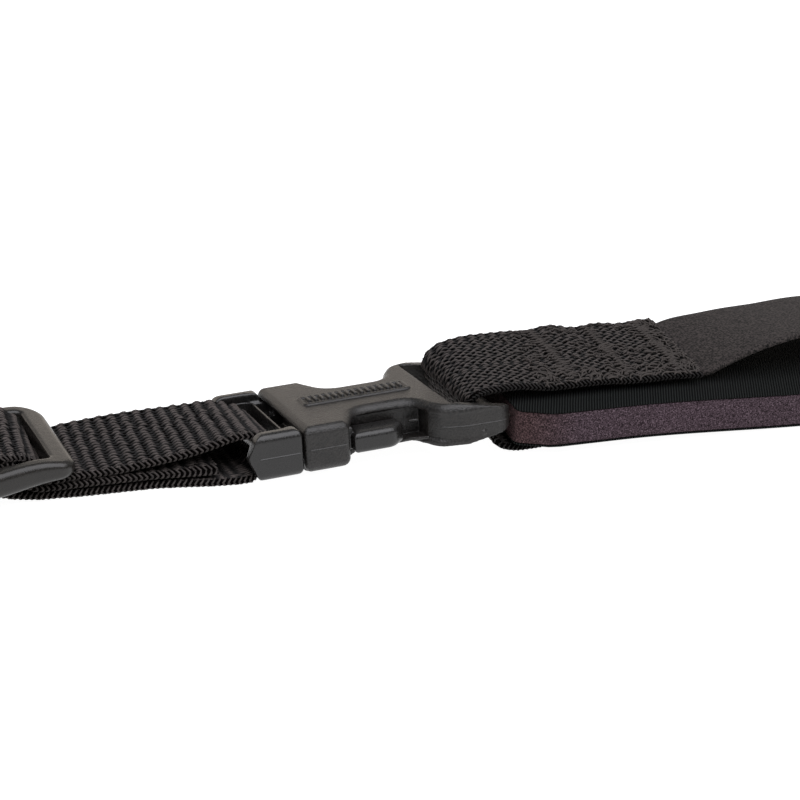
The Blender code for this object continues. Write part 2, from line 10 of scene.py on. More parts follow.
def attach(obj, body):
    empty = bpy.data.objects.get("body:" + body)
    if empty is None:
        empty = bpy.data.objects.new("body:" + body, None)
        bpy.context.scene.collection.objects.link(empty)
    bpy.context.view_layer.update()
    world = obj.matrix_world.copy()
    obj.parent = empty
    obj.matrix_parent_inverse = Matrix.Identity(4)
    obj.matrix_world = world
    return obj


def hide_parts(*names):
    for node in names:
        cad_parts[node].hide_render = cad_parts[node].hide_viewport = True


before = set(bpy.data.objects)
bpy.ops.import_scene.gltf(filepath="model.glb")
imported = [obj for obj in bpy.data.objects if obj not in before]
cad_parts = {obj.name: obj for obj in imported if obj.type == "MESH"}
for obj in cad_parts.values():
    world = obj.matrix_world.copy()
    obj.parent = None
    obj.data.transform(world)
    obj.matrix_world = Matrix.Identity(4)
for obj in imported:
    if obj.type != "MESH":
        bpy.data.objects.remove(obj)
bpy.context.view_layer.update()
random.seed(7)
print("frame loaded")

# nodes: an output can be added, multiplied and compared, and each sum makes a Math node


class Value:
    def __init__(self, socket):
        self.socket = socket
        self.tree = socket.id_data

    def calc(self, operation, *others):
        return put(self.tree, "ShaderNodeMath", dict(enumerate((self, *others))), operation=operation)

    def scaleAdd(self, factor, offset):
        return self.calc("MULTIPLY_ADD", factor, offset)

    def __add__(self, other):
        return self.calc("ADD", other)

    def __sub__(self, other):
        return self.calc("SUBTRACT", other)

    def __rsub__(self, other):
        return self.scaleAdd(-1.0, other)

    def __mul__(self, other):
        return self.calc("MULTIPLY", other)

    def __truediv__(self, other):
        return self.calc("DIVIDE", other)


def fill(node, inputs):
    for key, value in inputs.items():
        if isinstance(value, Value):
            value.tree.links.new(value.socket, node.inputs[key])
        else:
            node.inputs[key].default_value = value
    return node


def newNode(tree, kind, inputs, **settings):
    node = tree.nodes.new(kind)
    for name, value in settings.items():
        setattr(node, name, value)
    return fill(node, inputs)


def put(tree, kind, inputs=None, out=0, **settings):
    return Value(newNode(tree, kind, inputs or {}, **settings).outputs[out])


def combine(tree, x, y, z):
    return put(tree, "ShaderNodeCombineXYZ", {0: x, 1: y, 2: z})


def parts(vector):
    return [Value(socket) for socket in newNode(vector.tree, "ShaderNodeSeparateXYZ", {0: vector}).outputs]


def noiseOf(vector, scale, detail=2.0, roughness=0.5):
    inputs = {"Vector": vector, "Scale": scale, "Detail": detail, "Roughness": roughness}
    return put(vector.tree, "ShaderNodeTexNoise", inputs)


def startMaterial(name, surface):
    material = bpy.data.materials.new(name)
    material.use_nodes = True
    tree = material.node_tree
    return material, tree, fill(tree.nodes["Principled BSDF"], surface)


def link(obj):
    bpy.context.scene.collection.objects.link(obj)
    return obj


def meshObject(name, verts, faces, edges=()):
    mesh = bpy.data.meshes.new(name)
    mesh.from_pydata(verts, edges, faces)
    mesh.update()
    return link(bpy.data.objects.new(name, mesh))


# camera, floor and lights

cameraSetup = {
    "target": (-0.312, 0.0, 0.0087),
    "azimuth": -20.0,  # degrees, 0 looks along +Y
    "elevation": 17.0,
    "distance": 0.45,
    "lens": 108.0,
    "sensor": 36.0,
    "nearest": 0.01,
}

studio = {
    "floorSize": 14.0,
    "floorHeight": -0.0001,
    "floorColour": (0.3, 0.3, 0.3, 1.0),
    "floorGlow": 0.97,  # keeps shadows on the white paper faint
    "skyColour": (0.97, 0.985, 1.0, 1.0),
    "skyStrength": 0.3,
    "lights": [
        # name, place, aimed at, width and height, watts, colour
        ("overheadBox", (-0.25, -0.95, 2.0), (-0.25, 0.0, 0.0), (4.4, 2.6), 124.0, (0.96, 0.955, 1.0)),
        ("backBoard", (-0.2, 2.6, 0.8), (-0.2, 0.0, 0.0), (5.0, 1.2), 16.0, (1.0, 0.87, 0.74)),
    ],
}


def aimed(name, data, place, direction):
    obj = link(bpy.data.objects.new(name, data))
    obj.location = place
    obj.rotation_mode = "QUATERNION"
    obj.rotation_quaternion = direction.to_track_quat("-Z", "Y")
    return obj


def makeCamera(setup):
    turn = math.radians(setup["azimuth"])
    rise = math.radians(setup["elevation"])
    back = Vector((math.sin(turn) * math.cos(rise), -math.cos(turn) * math.cos(rise), math.sin(rise)))
    lens = bpy.data.cameras.new("camera")
    lens.lens = setup["lens"]
    lens.sensor_width = setup["sensor"]
    lens.clip_start = setup["nearest"]
    place = Vector(setup["target"]) + back * setup["distance"]
    bpy.context.scene.camera = aimed("camera", lens, place, -back)


def makeStudio(setup):
    bpy.context.scene.view_settings.view_transform = "Standard"
    world = bpy.data.worlds.new("studioSky")
    world.use_nodes = True
    fill(world.node_tree.nodes["Background"], {"Color": setup["skyColour"], "Strength": setup["skyStrength"]})
    bpy.context.scene.world = world
    for name, place, target, size, watts, colour in setup["lights"]:
        lamp = bpy.data.lights.new(name, "AREA")
        lamp.shape = "RECTANGLE"
        lamp.size, lamp.size_y = size
        lamp.energy = watts
        lamp.color = colour
        aimed(name, lamp, place, Vector(target) - Vector(place))
    half, level = setup["floorSize"] / 2, setup["floorHeight"]
    corners = [(-half, -half, level), (half, -half, level), (half, half, level), (-half, half, level)]
    floor = meshObject("floor", corners, [(0, 1, 2, 3)])
    surface = {"Base Color": setup["floorColour"], "Roughness": 0.9, "Specular IOR Level": 0.1}
    surface.update({"Emission Color": (1.0, 1.0, 1.0, 1.0), "Emission Strength": setup["floorGlow"]})
    floor.data.materials.append(startMaterial("whitePaper", surface)[0])


makeCamera(cameraSetup)
makeStudio(studio)
print("studio ready")

# finishes, each with a dark and a light colour


def objectPoint(tree):
    return put(tree, "ShaderNodeTexCoord", out="Object")


def ramp(value, stops):
    node = newNode(value.tree, "ShaderNodeValToRGB", {"Fac": value})
    colours = node.color_ramp.elements
    while len(colours) < len(stops):
        colours.new(0.5)
    for element, (place, colour) in zip(colours, stops):
        element.position = place
        element.color = (*colour, 1.0)
    return Value(node.outputs["Color"])


def bump(height, distance, strength, **under):
    inputs = {"Height": height, "Distance": distance, "Strength": strength, **under}
    return put(height.tree, "ShaderNodeBump", inputs)


def ripple(value, pitch):
    return (value * (2 * math.pi / pitch)).calc("SINE")


def paint(shader, value, stops, normal):
    fill(shader, {"Base Color": ramp(value, stops), "Normal": normal})


def makeYarnFinish(name, dark, light, filaments):
    surface = {"Roughness": 0.62, "Sheen Weight": 0.03, "Sheen Roughness": 0.4, "Specular IOR Level": 0.22}
    material, tree, shader = startMaterial(name, surface)
    # painted shade: the colour darkens as crest falls, from 1 on top of a float to 0 where the yarn dives
    # into a groove, and as flankShade rises towards 1 at a yarn's sides
    names = ("along", "column", "crest", "flankShade")
    stored = [put(tree, "ShaderNodeAttribute", out="Fac", attribute_name=name) for name in names]
    along, column, crest, flankShade = stored
    y = parts(objectPoint(tree))[1]
    strands = noiseOf(combine(tree, along * 900.0, y * filaments, column), 1.0, 3.0, 0.6)
    drift = noiseOf(combine(tree, along * 520.0, column, 0.0), 1.0)
    # strands and drift vary the yarn's own tone, crest and flankShade paint shade on it
    lit = (strands * 0.6 + drift * 0.4) * crest.scaleAdd(0.92, 0.08) * flankShade.scaleAdd(-0.8, 1.0)
    paint(shader, lit, [(0.16, dark), (0.6, light)], bump(strands, 0.0001, 0.8))
    return material


# near-black finish for the hidden slab and cords, painted shade seen through the gaps between yarns
def makeCoreFinish(name, dark, light):
    material, tree, shader = startMaterial(name, {"Roughness": 1.0, "Specular IOR Level": 0.0})
    mixed = noiseOf(objectPoint(tree), 2200.0, 3.0, 0.6)
    paint(shader, mixed, [(0.35, dark), (0.7, light)], bump(mixed, 0.0001, 0.6))
    return material


def makePlasticFinish(name, dark, light, roughness, specular, texture):
    material, tree, shader = startMaterial(name, {"Specular IOR Level": specular, "IOR": 1.47})
    place = objectPoint(tree)
    grain = noiseOf(place, 3000.0, 2.0, 0.6)
    mixed = grain * 0.7 + noiseOf(place, 160.0, 3.0) * 0.3
    gloss = {"Value": grain, "To Min": roughness - 0.14, "To Max": roughness + 0.16}
    soft = bump(noiseOf(place, 600.0), 0.00012, 0.2)
    fill(shader, {"Roughness": put(tree, "ShaderNodeMapRange", gloss)})
    paint(shader, mixed, [(0.38, dark), (0.62, light)], bump(grain, 0.00012, texture, Normal=soft))
    return material


def makeFoamFinish(name, stops, tipShadeFrom, tipShadeTo):
    material, tree, shader = startMaterial(name, {"Roughness": 0.9, "Specular IOR Level": 0.1})
    place = objectPoint(tree)
    pores = put(tree, "ShaderNodeTexVoronoi", {"Vector": place, "Scale": 2500.0})
    specks = noiseOf(place, 3800.0, 2.0, 0.6)
    mixed = specks * 0.94 + noiseOf(place, 220.0, 3.0) * 0.06
    # painted shade: darker and browner towards both ends of the pad, next to the buckles
    ends = {"Value": parts(place)[0].calc("ABSOLUTE"), "From Min": tipShadeFrom, "From Max": tipShadeTo}
    tint = {0: put(tree, "ShaderNodeMapRange", ends), 6: ramp(mixed, stops), 7: (0.86, 0.74, 0.62, 1.0)}
    tipShaded = put(tree, "ShaderNodeMix", tint, 2, data_type="RGBA", blend_type="MULTIPLY")
    cells = bump(pores, 0.00018, 0.7)
    fill(shader, {"Base Color": tipShaded, "Normal": bump(specks, 0.00015, 0.9, Normal=cells)})
    return material


def makeJerseyFinish(name, dark, light, pitch, turn):
    material, tree, shader = startMaterial(name, {"Roughness": 0.9, "Specular IOR Level": 0.06})
    place = objectPoint(tree)
    x, y, _ = parts(place)
    rate, angle = 2 * math.pi / pitch, math.radians(turn)
    wobble = noiseOf(place, 300.0) * 1.6
    rib = (x * (rate * math.cos(angle)) + y * (-rate * math.sin(angle)) + wobble).calc("SINE")
    fuzz = (noiseOf(place, 1500.0, 3.0, 0.7) - 0.5) * 0.9
    height = (rib + ripple(y, pitch * 0.8) * 0.25 + fuzz).scaleAdd(0.38, 0.45)
    paint(shader, height, [(0.2, dark), (0.9, light)], bump(height, 0.0002, 1.0))
    return material


def makeBandFinish(name, dark, light, pitch):
    surface = {"Roughness": 0.85, "Sheen Weight": 0.05, "Sheen Roughness": 0.4, "Specular IOR Level": 0.15}
    material, tree, shader = startMaterial(name, surface)
    place = objectPoint(tree)
    x, y, _ = parts(place)
    weave = (ripple(x, pitch) * ripple(y, pitch)).scaleAdd(0.5, 0.5)
    mixed = weave * 0.18 + noiseOf(place, 2300.0, 2.0, 0.6) * 0.82
    paint(shader, mixed, [(0.4, dark), (0.6, light)], bump(mixed, 0.00012, 0.8))
    return material


foamStops = [
    (0.37, (0.008, 0.005, 0.006)),
    (0.46, (0.032, 0.021, 0.026)),
    (0.56, (0.056, 0.038, 0.047)),
    (0.72, (0.135, 0.098, 0.117)),
]
yarnDark = (0.0008, 0.0006, 0.0005)
socketColours = ((0.002, 0.0018, 0.0016), (0.013, 0.0113, 0.0102))
plugColours = ((0.004, 0.0037, 0.0035), (0.009, 0.0083, 0.0079))
sliderColours = ((0.006, 0.0052, 0.0044), (0.011, 0.0094, 0.008))
finishes = {
    "strapYarn": makeYarnFinish("strapYarn", yarnDark, (0.088, 0.0735, 0.0675), 7000.0),
    "padYarn": makeYarnFinish("padYarn", yarnDark, (0.076, 0.0635, 0.058), 8000.0),
    "core": makeCoreFinish("webbingCore", (0.0006, 0.0005, 0.0005), (0.0025, 0.0021, 0.0019)),
    "thread": makeYarnFinish("sewingThread", yarnDark, (0.04, 0.0332, 0.03), 9000.0),
    "socket": makePlasticFinish("socketPlastic", *socketColours, 0.34, 0.43, 1.0),
    "plug": makePlasticFinish("plugPlastic", *plugColours, 0.3, 0.49, 0.3),
    "slider": makePlasticFinish("sliderPlastic", *sliderColours, 0.28, 0.42, 0.12),
    "foam": makeFoamFinish("foam", foamStops, 0.2825, 0.2925),
    "jersey": makeJerseyFinish("jerseyKnit", (0.0008, 0.001, 0.001), (0.0145, 0.016, 0.0154), 0.0005, 24.0),
    "band": makeBandFinish("controlBand", (0.0032, 0.0028, 0.0026), (0.036, 0.03, 0.0282), 0.00045),
}
print("finishes ready")

# paths of the webbing, the same as the solids follow

layout = {
    "webThickness": 0.0014,
    "foldGap": 0.00015,
    "ground": 0.0008,  # middle of webbing that lies on the floor
    "seatGap": 0.0003,
    "barGap": 0.0004,
}

pad = {
    "halfLength": 0.2925,
    "endHalfWidth": 0.0175,
    "middleHalfWidth": 0.034,
    "tipRadius": 0.0014,
    "tipOver": 0.0019,
    "tipNarrow": 0.0024,
    "tipLength": 0.0075,
    "parallel": 0.07,
    "widestFrom": 0.215,
    "tilt": 9.0,
    "tiltHeld": 0.06,
    "flatFrom": 0.175,
    "foam": 0.0064,
    "jersey": 0.0003,
    "layerGap": 0.0002,
    "pressedIn": 0.0001,
    "foamEdge": 0.0004,
    "foamUneven": 0.0001,
    "jerseyEdge": 0.00014,
    "columns": 20,
    "lift": 0.0016,
    "liftHeld": 0.018,
    "downFrom": 0.066,
    "station": 0.0022,
}
pad["halfThickness"] = pad["foam"] / 2 + pad["layerGap"] + pad["jersey"]

buckle = {
    "mouth": (-0.3356, -0.0006, 0.0058),
    "pitch": 3.2,
    "yaw": 1.2,
    "endBar": (0.0375, 0.0015),  # its s and radius
    "plugBar": (-0.0068, 0.0013),
}

slider = {
    "place": (-0.3899, 0.0004, 0.0055),
    "barHalfHeight": 0.0006,
    "swell": 1.35,
    "window": 0.0016,  # from the bar's middle to its near window
    "loopGap": 0.0009,
    "step": 0.002,
    "stepAlong": (-0.006, 0.009),
}

# rows of x, height and roll in degrees
padWebPath = {
    "over": [(-0.255, 0.0003), (-0.261, 0.0003), (-0.269, 0.0), (-0.276, 0.0004), (-0.285, 0.0003)],
    "overRoll": 9.0,
    # x from the end bar, height from the crest
    "arch": [(0.0052, 0.0001, 8.5), (0.0018, -0.0001, 8.0), (-0.0023, -0.0009, 6.5), (-0.0046, -0.0032, 3.5)],
    "under": [
        (-0.2967, 0.0002, 6.5), (-0.294, -0.0004, 9.0), (-0.29, -0.0005, 9.0),
        (-0.28, 0.0, 9.0), (-0.265, 0.0, 9.0), (-0.25, 0.0, 9.0),
    ],
}

# x from the slider's bar, or from the plug's
strapPath = {
    "tail": [
        (0.0394, 0.0007, 2.0), (0.0279, 0.0006, 2.5), (0.0159, 0.0007, 3.0),
        (0.0105, 0.0007, 3.5), (0.007, 0.0009, 4.0),
    ],
    "upToBar": [(0.0052, -0.002, 4.5), (0.0037, 0.0001, 5.5), (0.0026, 0.0018, 7.5)],
    "overBar": [(0.001, 0.0, 10.0), (-0.0006, -0.0001, 10.0)],
    "lowerLeg": [
        (-0.0006, 0.0025, 4.0), (0.0016, 0.0017, 3.0), (0.004, 0.0011, 2.0), (0.007, 0.0007, 2.0),
        (0.0105, 0.0004, 1.0), (0.0159, 0.0002, 1.0), (0.0339, 0.0001, 1.0), (0.0399, 0.0001, 1.0),
        (0.0437, 0.0001, 1.0),
    ],
    "toPlugBar": [(-0.001, 0.0004, 0.5), (0.0014, 0.0016, 0.0)],
    "upperLeg": [
        (0.0433, 0.0085, 3.5), (0.0389, 0.0079, 6.5), (0.0339, 0.0073, 9.5), (0.0279, 0.0068, 11.6),
        (0.0209, 0.0062, 12.4), (0.0139, 0.0057, 10.4), (0.0108, 0.005, 7.5), (0.0092, 0.0049, 6.5),
        (0.008, 0.0061, 6.5), (0.0069, 0.008, 8.5), (0.005, 0.0097, 10.5),
    ],
    "overLoop": [(0.0024, 0.0001, 11.5), (0.0004, -0.0001, 11.5)],
    "away": [
        (-0.0062, 0.0036, 4.5), (-0.0082, 0.0021, 4.5), (-0.011, 0.0017, 4.5), (-0.015, 0.0014, 3.5),
        (-0.022, 0.0009, 1.0), (-0.0321, 0.0008, 0.0), (-0.0601, 0.0008, 0.0),
    ],
}

eye = {"x": -0.472, "radius": 0.0045, "seat": 0.003, "tail": -0.43}

band = {
    "width": 0.023,
    "thickness": 0.001,
    "edge": 0.00035,
    "columns": 11,
    "step": 0.0018,
    "narrowed": 0.19,
    "covered": (0.035, 0.0395),  # from the pad's end
    # x, lift over the pad, roll
    "rows": [
        (-0.284, 0.0, 9.0), (-0.27, 0.0, 9.0), (-0.26, 0.0002, 10.0), (-0.255, 0.0007, 11.0),
        (-0.2505, 0.0023, 9.0), (-0.245, 0.0038, 5.0), (-0.2395, 0.005, 2.5), (-0.233, 0.0059, 0.5),
        (-0.22, 0.0067, 0.5), (-0.195, 0.0055, 0.5), (-0.16, 0.002, 0.0), (-0.125, 0.0001, 0.0),
        (-0.08, 0.0, 0.0), (-0.03, 0.0, 0.0),
    ],
}


def smoothStep(value, low, high):
    t = min(max((value - low) / (high - low), 0.0), 1.0)
    return t * t * (3.0 - 2.0 * t)


def buckleFrame():
    yaw = Matrix.Rotation(math.radians(buckle["yaw"]), 4, "Z")
    pitch = Matrix.Rotation(-math.radians(buckle["pitch"]), 4, "Y")
    return Matrix.Translation(buckle["mouth"]) @ yaw @ pitch


def padHalfWidth(u):
    wide = smoothStep(u, pad["parallel"], pad["widestFrom"])
    width = pad["endHalfWidth"] + (pad["middleHalfWidth"] - pad["endHalfWidth"]) * wide
    reach = max(u + pad["tipOver"], 0.0)
    width -= pad["tipNarrow"] * (1.0 - smoothStep(reach, 0.0, pad["tipLength"]))
    if reach < pad["tipRadius"]:
        width -= pad["tipRadius"] - math.sqrt(pad["tipRadius"] ** 2 - (pad["tipRadius"] - reach) ** 2)
    return width


def padTilt(u):
    return math.radians(pad["tilt"]) * (1.0 - smoothStep(u, pad["tiltHeld"], pad["flatFrom"]))


def padMiddleHeight(u):
    tilt = padTilt(u)
    lift = pad["lift"] * (1.0 - smoothStep(u, pad["liftHeld"], pad["downFrom"]))
    fullWidth = padHalfWidth(max(u, pad["tipLength"]))
    return lift + pad["halfThickness"] * math.cos(tilt) + fullWidth * math.sin(tilt)


def padFaceHeight(x, way):
    u = x + pad["halfLength"]
    return padMiddleHeight(u) + way * pad["halfThickness"] / math.cos(padTilt(u))


def placed(rows, x, z):
    return [(x + dx, z + dz, roll) for dx, dz, roll in rows]


def wrapRows(x, z, radius, first, last, roll, every=22.5):
    count = max(1, round(abs(last - first) / every))
    angles = [math.radians(first + (last - first) * i / count) for i in range(count + 1)]
    return [(x + radius * math.cos(angle), z + radius * math.sin(angle), roll) for angle in angles]


def padWebRows():
    bar = buckleFrame() @ Vector((buckle["endBar"][0], 0.0, 0.0))
    halfWeb = layout["webThickness"] / 2
    radius = buckle["endBar"][1] + layout["barGap"] + halfWeb
    overBand = layout["seatGap"] * 2 + band["thickness"] + halfWeb
    roll = padWebPath["overRoll"]
    rows = [(x, padFaceHeight(x, 1) + overBand + lift, roll) for x, lift in padWebPath["over"]]
    rows += placed(padWebPath["arch"], bar.x, rows[-1][1])
    rows += wrapRows(bar.x - 0.0004, bar.z, radius, 195, 235, 0.0)
    rows.append((bar.x + 0.0002, bar.z - radius - 0.0006, 3.0))
    for x, lift, roll in padWebPath["under"]:
        under = padFaceHeight(max(x, -pad["halfLength"]), -1)
        rows.append((x, under - layout["seatGap"] - halfWeb + lift, roll))
    return rows


def sliderRise(dx):
    return slider["step"] * smoothStep(dx, *slider["stepAlong"])


def strapRows():
    bar = buckleFrame() @ Vector((buckle["plugBar"][0], 0.0, 0.0))
    halfWeb, ground = layout["webThickness"] / 2, layout["ground"]
    plugRadius = buckle["plugBar"][1] + layout["barGap"] + halfWeb
    layer = layout["webThickness"] + layout["foldGap"]
    barX = slider["place"][0]
    barZ = slider["place"][2] + sliderRise(0.0)
    loopRadius = slider["barHalfHeight"] * slider["swell"] + slider["loopGap"] + halfWeb
    loopX = barX - slider["window"] + loopRadius - slider["loopGap"] - halfWeb
    overRadius = loopRadius + layer + layout["foldGap"]
    eyeX, eyeRadius, eyeZ = eye["x"], eye["radius"], ground + eye["radius"]
    eyeTop = ground + 2 * eyeRadius + eye["seat"]
    # round the slider's bar, along the floor to the plug, back over the slider and on to the camera
    return [
        *placed(strapPath["tail"], barX, ground + layer),
        *placed(strapPath["upToBar"], barX, barZ),
        *placed(strapPath["overBar"], barX, barZ + loopRadius),
        *wrapRows(loopX, barZ, loopRadius, 105, 235, 8.0),
        *placed(strapPath["lowerLeg"], barX, ground),
        *placed(strapPath["toPlugBar"], bar.x, ground),
        *wrapRows(bar.x, bar.z, plugRadius, -28, 80, 0.0),
        *placed(strapPath["upperLeg"], barX, 0.0),
        *placed(strapPath["overLoop"], barX, barZ + overRadius),
        *wrapRows(loopX, barZ, overRadius, 95, 185, 9.0),
        *placed(strapPath["away"], barX, 0.0),
        (eyeX + 0.008, ground, 0.0),
        *wrapRows(eyeX, eyeZ, eyeRadius, -90, -180, 0.0),
        *wrapRows(eyeX, eyeZ + eye["seat"], eyeRadius, -180, -270, 0.0),
        (eyeX + 0.006, eyeTop - 0.0022, 0.0),
        (eyeX + 0.0125, ground + layer + 0.0024, 0.0),
        (eyeX + 0.019, ground + layer, 0.0),
        (eye["tail"], ground + layer, 0.0),
    ]


def bandRows():
    seat = layout["seatGap"] + band["thickness"] / 2
    rows = [(x, padFaceHeight(x, 1) + seat + lift, roll) for x, lift, roll in band["rows"]]
    return rows + [(-x, z, roll) for x, z, roll in reversed(rows)]


def smoothRows(rows, steps=14):
    points = [Vector(row) for row in rows]
    ends = [points[0] * 2 - points[1], *points, points[-1] * 2 - points[-2]]
    path = []
    for a, b, c, d in zip(ends, ends[1:], ends[2:], ends[3:]):
        for t in [i / steps for i in range(steps)]:
            curve = 2 * b + (c - a) * t + (2 * a - 5 * b + 4 * c - d) * t**2
            path.append(0.5 * (curve + (3 * b - a - 3 * c + d) * t**3))
    return [*path, points[-1]]


def walk(rows, step):
    # even steps along a path, each with its middle, across, face and forward directions and its length so far
    dense = smoothRows(rows)
    lengths = [0.0]
    for a, b in zip(dense, dense[1:]):
        lengths.append(lengths[-1] + math.hypot(b[0] - a[0], b[1] - a[1]))
    count = round(lengths[-1] / step)
    spots = []
    k = 0
    for i in range(count + 1):
        goal = lengths[-1] * i / count
        while k < len(dense) - 2 and lengths[k + 1] < goal:
            k += 1
        share = (goal - lengths[k]) / max(lengths[k + 1] - lengths[k], 1e-9)
        spots.append(dense[k].lerp(dense[k + 1], share))
    frames = []
    for i, spot in enumerate(spots):
        ahead = spots[min(i + 1, count)] - spots[max(i - 1, 0)]
        forward = Vector((ahead[0], 0.0, ahead[1])).normalized()
        roll = math.radians(spot[2])
        across = Vector((0.0, math.cos(roll), math.sin(roll)))
        across = (across - forward * across.dot(forward)).normalized()
        face = across.cross(forward).normalized()
        middle, along = Vector((spot[0], 0.0, spot[1])), lengths[-1] * i / count
        frames.append({"middle": middle, "across": across, "face": face, "forward": forward, "along": along})
    return frames


# webbing woven over its path by Geometry Nodes


def newTree(name, inputs):
    # the value of each input says its kind: a whole number, a float or a material
    tree = bpy.data.node_groups.new(name, "GeometryNodeTree")
    tree.interface.new_socket("Geometry", in_out="INPUT", socket_type="NodeSocketGeometry")
    for label, value in inputs.items():
        kind = "NodeSocket" + type(value).__name__.capitalize()
        tree.interface.new_socket(label, in_out="INPUT", socket_type=kind).default_value = value
    tree.interface.new_socket("Geometry", in_out="OUTPUT", socket_type="NodeSocketGeometry")
    return tree, {socket.name: Value(socket) for socket in tree.nodes.new("NodeGroupInput").outputs}


def finishTree(geometry, paints):
    tree = geometry.tree
    solid = put(tree, "GeometryNodeRealizeInstances", {"Geometry": geometry})
    solid = put(tree, "GeometryNodeSetShadeSmooth", {"Geometry": solid})
    for inputs in paints:
        solid = put(tree, "GeometryNodeSetMaterial", {"Geometry": solid, **inputs})
    newNode(tree, "NodeGroupOutput", {0: solid})
    return tree


def attribute(tree, name, kind="FLOAT"):
    return put(tree, "GeometryNodeInputNamedAttribute", {"Name": name}, data_type=kind)


def store(geometry, name, value, domain="POINT"):
    inputs = {"Geometry": geometry, "Name": name, "Value": value}
    return put(geometry.tree, "GeometryNodeStoreNamedAttribute", inputs, data_type="FLOAT", domain=domain)


def circle(tree, sides, radius):
    return put(tree, "GeometryNodeCurvePrimitiveCircle", {"Resolution": sides, "Radius": radius})


def sweep(curve, ring):
    inputs = {"Curve": curve, "Profile Curve": ring, "Fill Caps": True}
    return put(curve.tree, "GeometryNodeCurveToMesh", inputs)


def moved(curve, offset):
    return put(curve.tree, "GeometryNodeSetPosition", {"Geometry": curve, "Offset": offset})


def scaleVector(vector, factor):
    return put(vector.tree, "ShaderNodeVectorMath", {0: vector, 3: factor}, operation="SCALE")


def together(pieces):
    node = newNode(pieces[0].tree, "GeometryNodeJoinGeometry", {})
    for piece in pieces:
        fill(node, {0: piece})
    return Value(node.outputs[0])


# along, outwards from the rim, height: a strand goes round the rim and on to the face
edgeStrand = [(0.0, 0.00002, 0.0), (0.00042, 0.00016, 0.00054), (0.0009, -0.00105, 0.00064)]
edgeCord = {"inset": 0.00055, "back": 0.00056, "front": 0.00124, "wide": 0.0011}
innerSlab = {"thickness": 0.0003, "narrower": 0.0009}


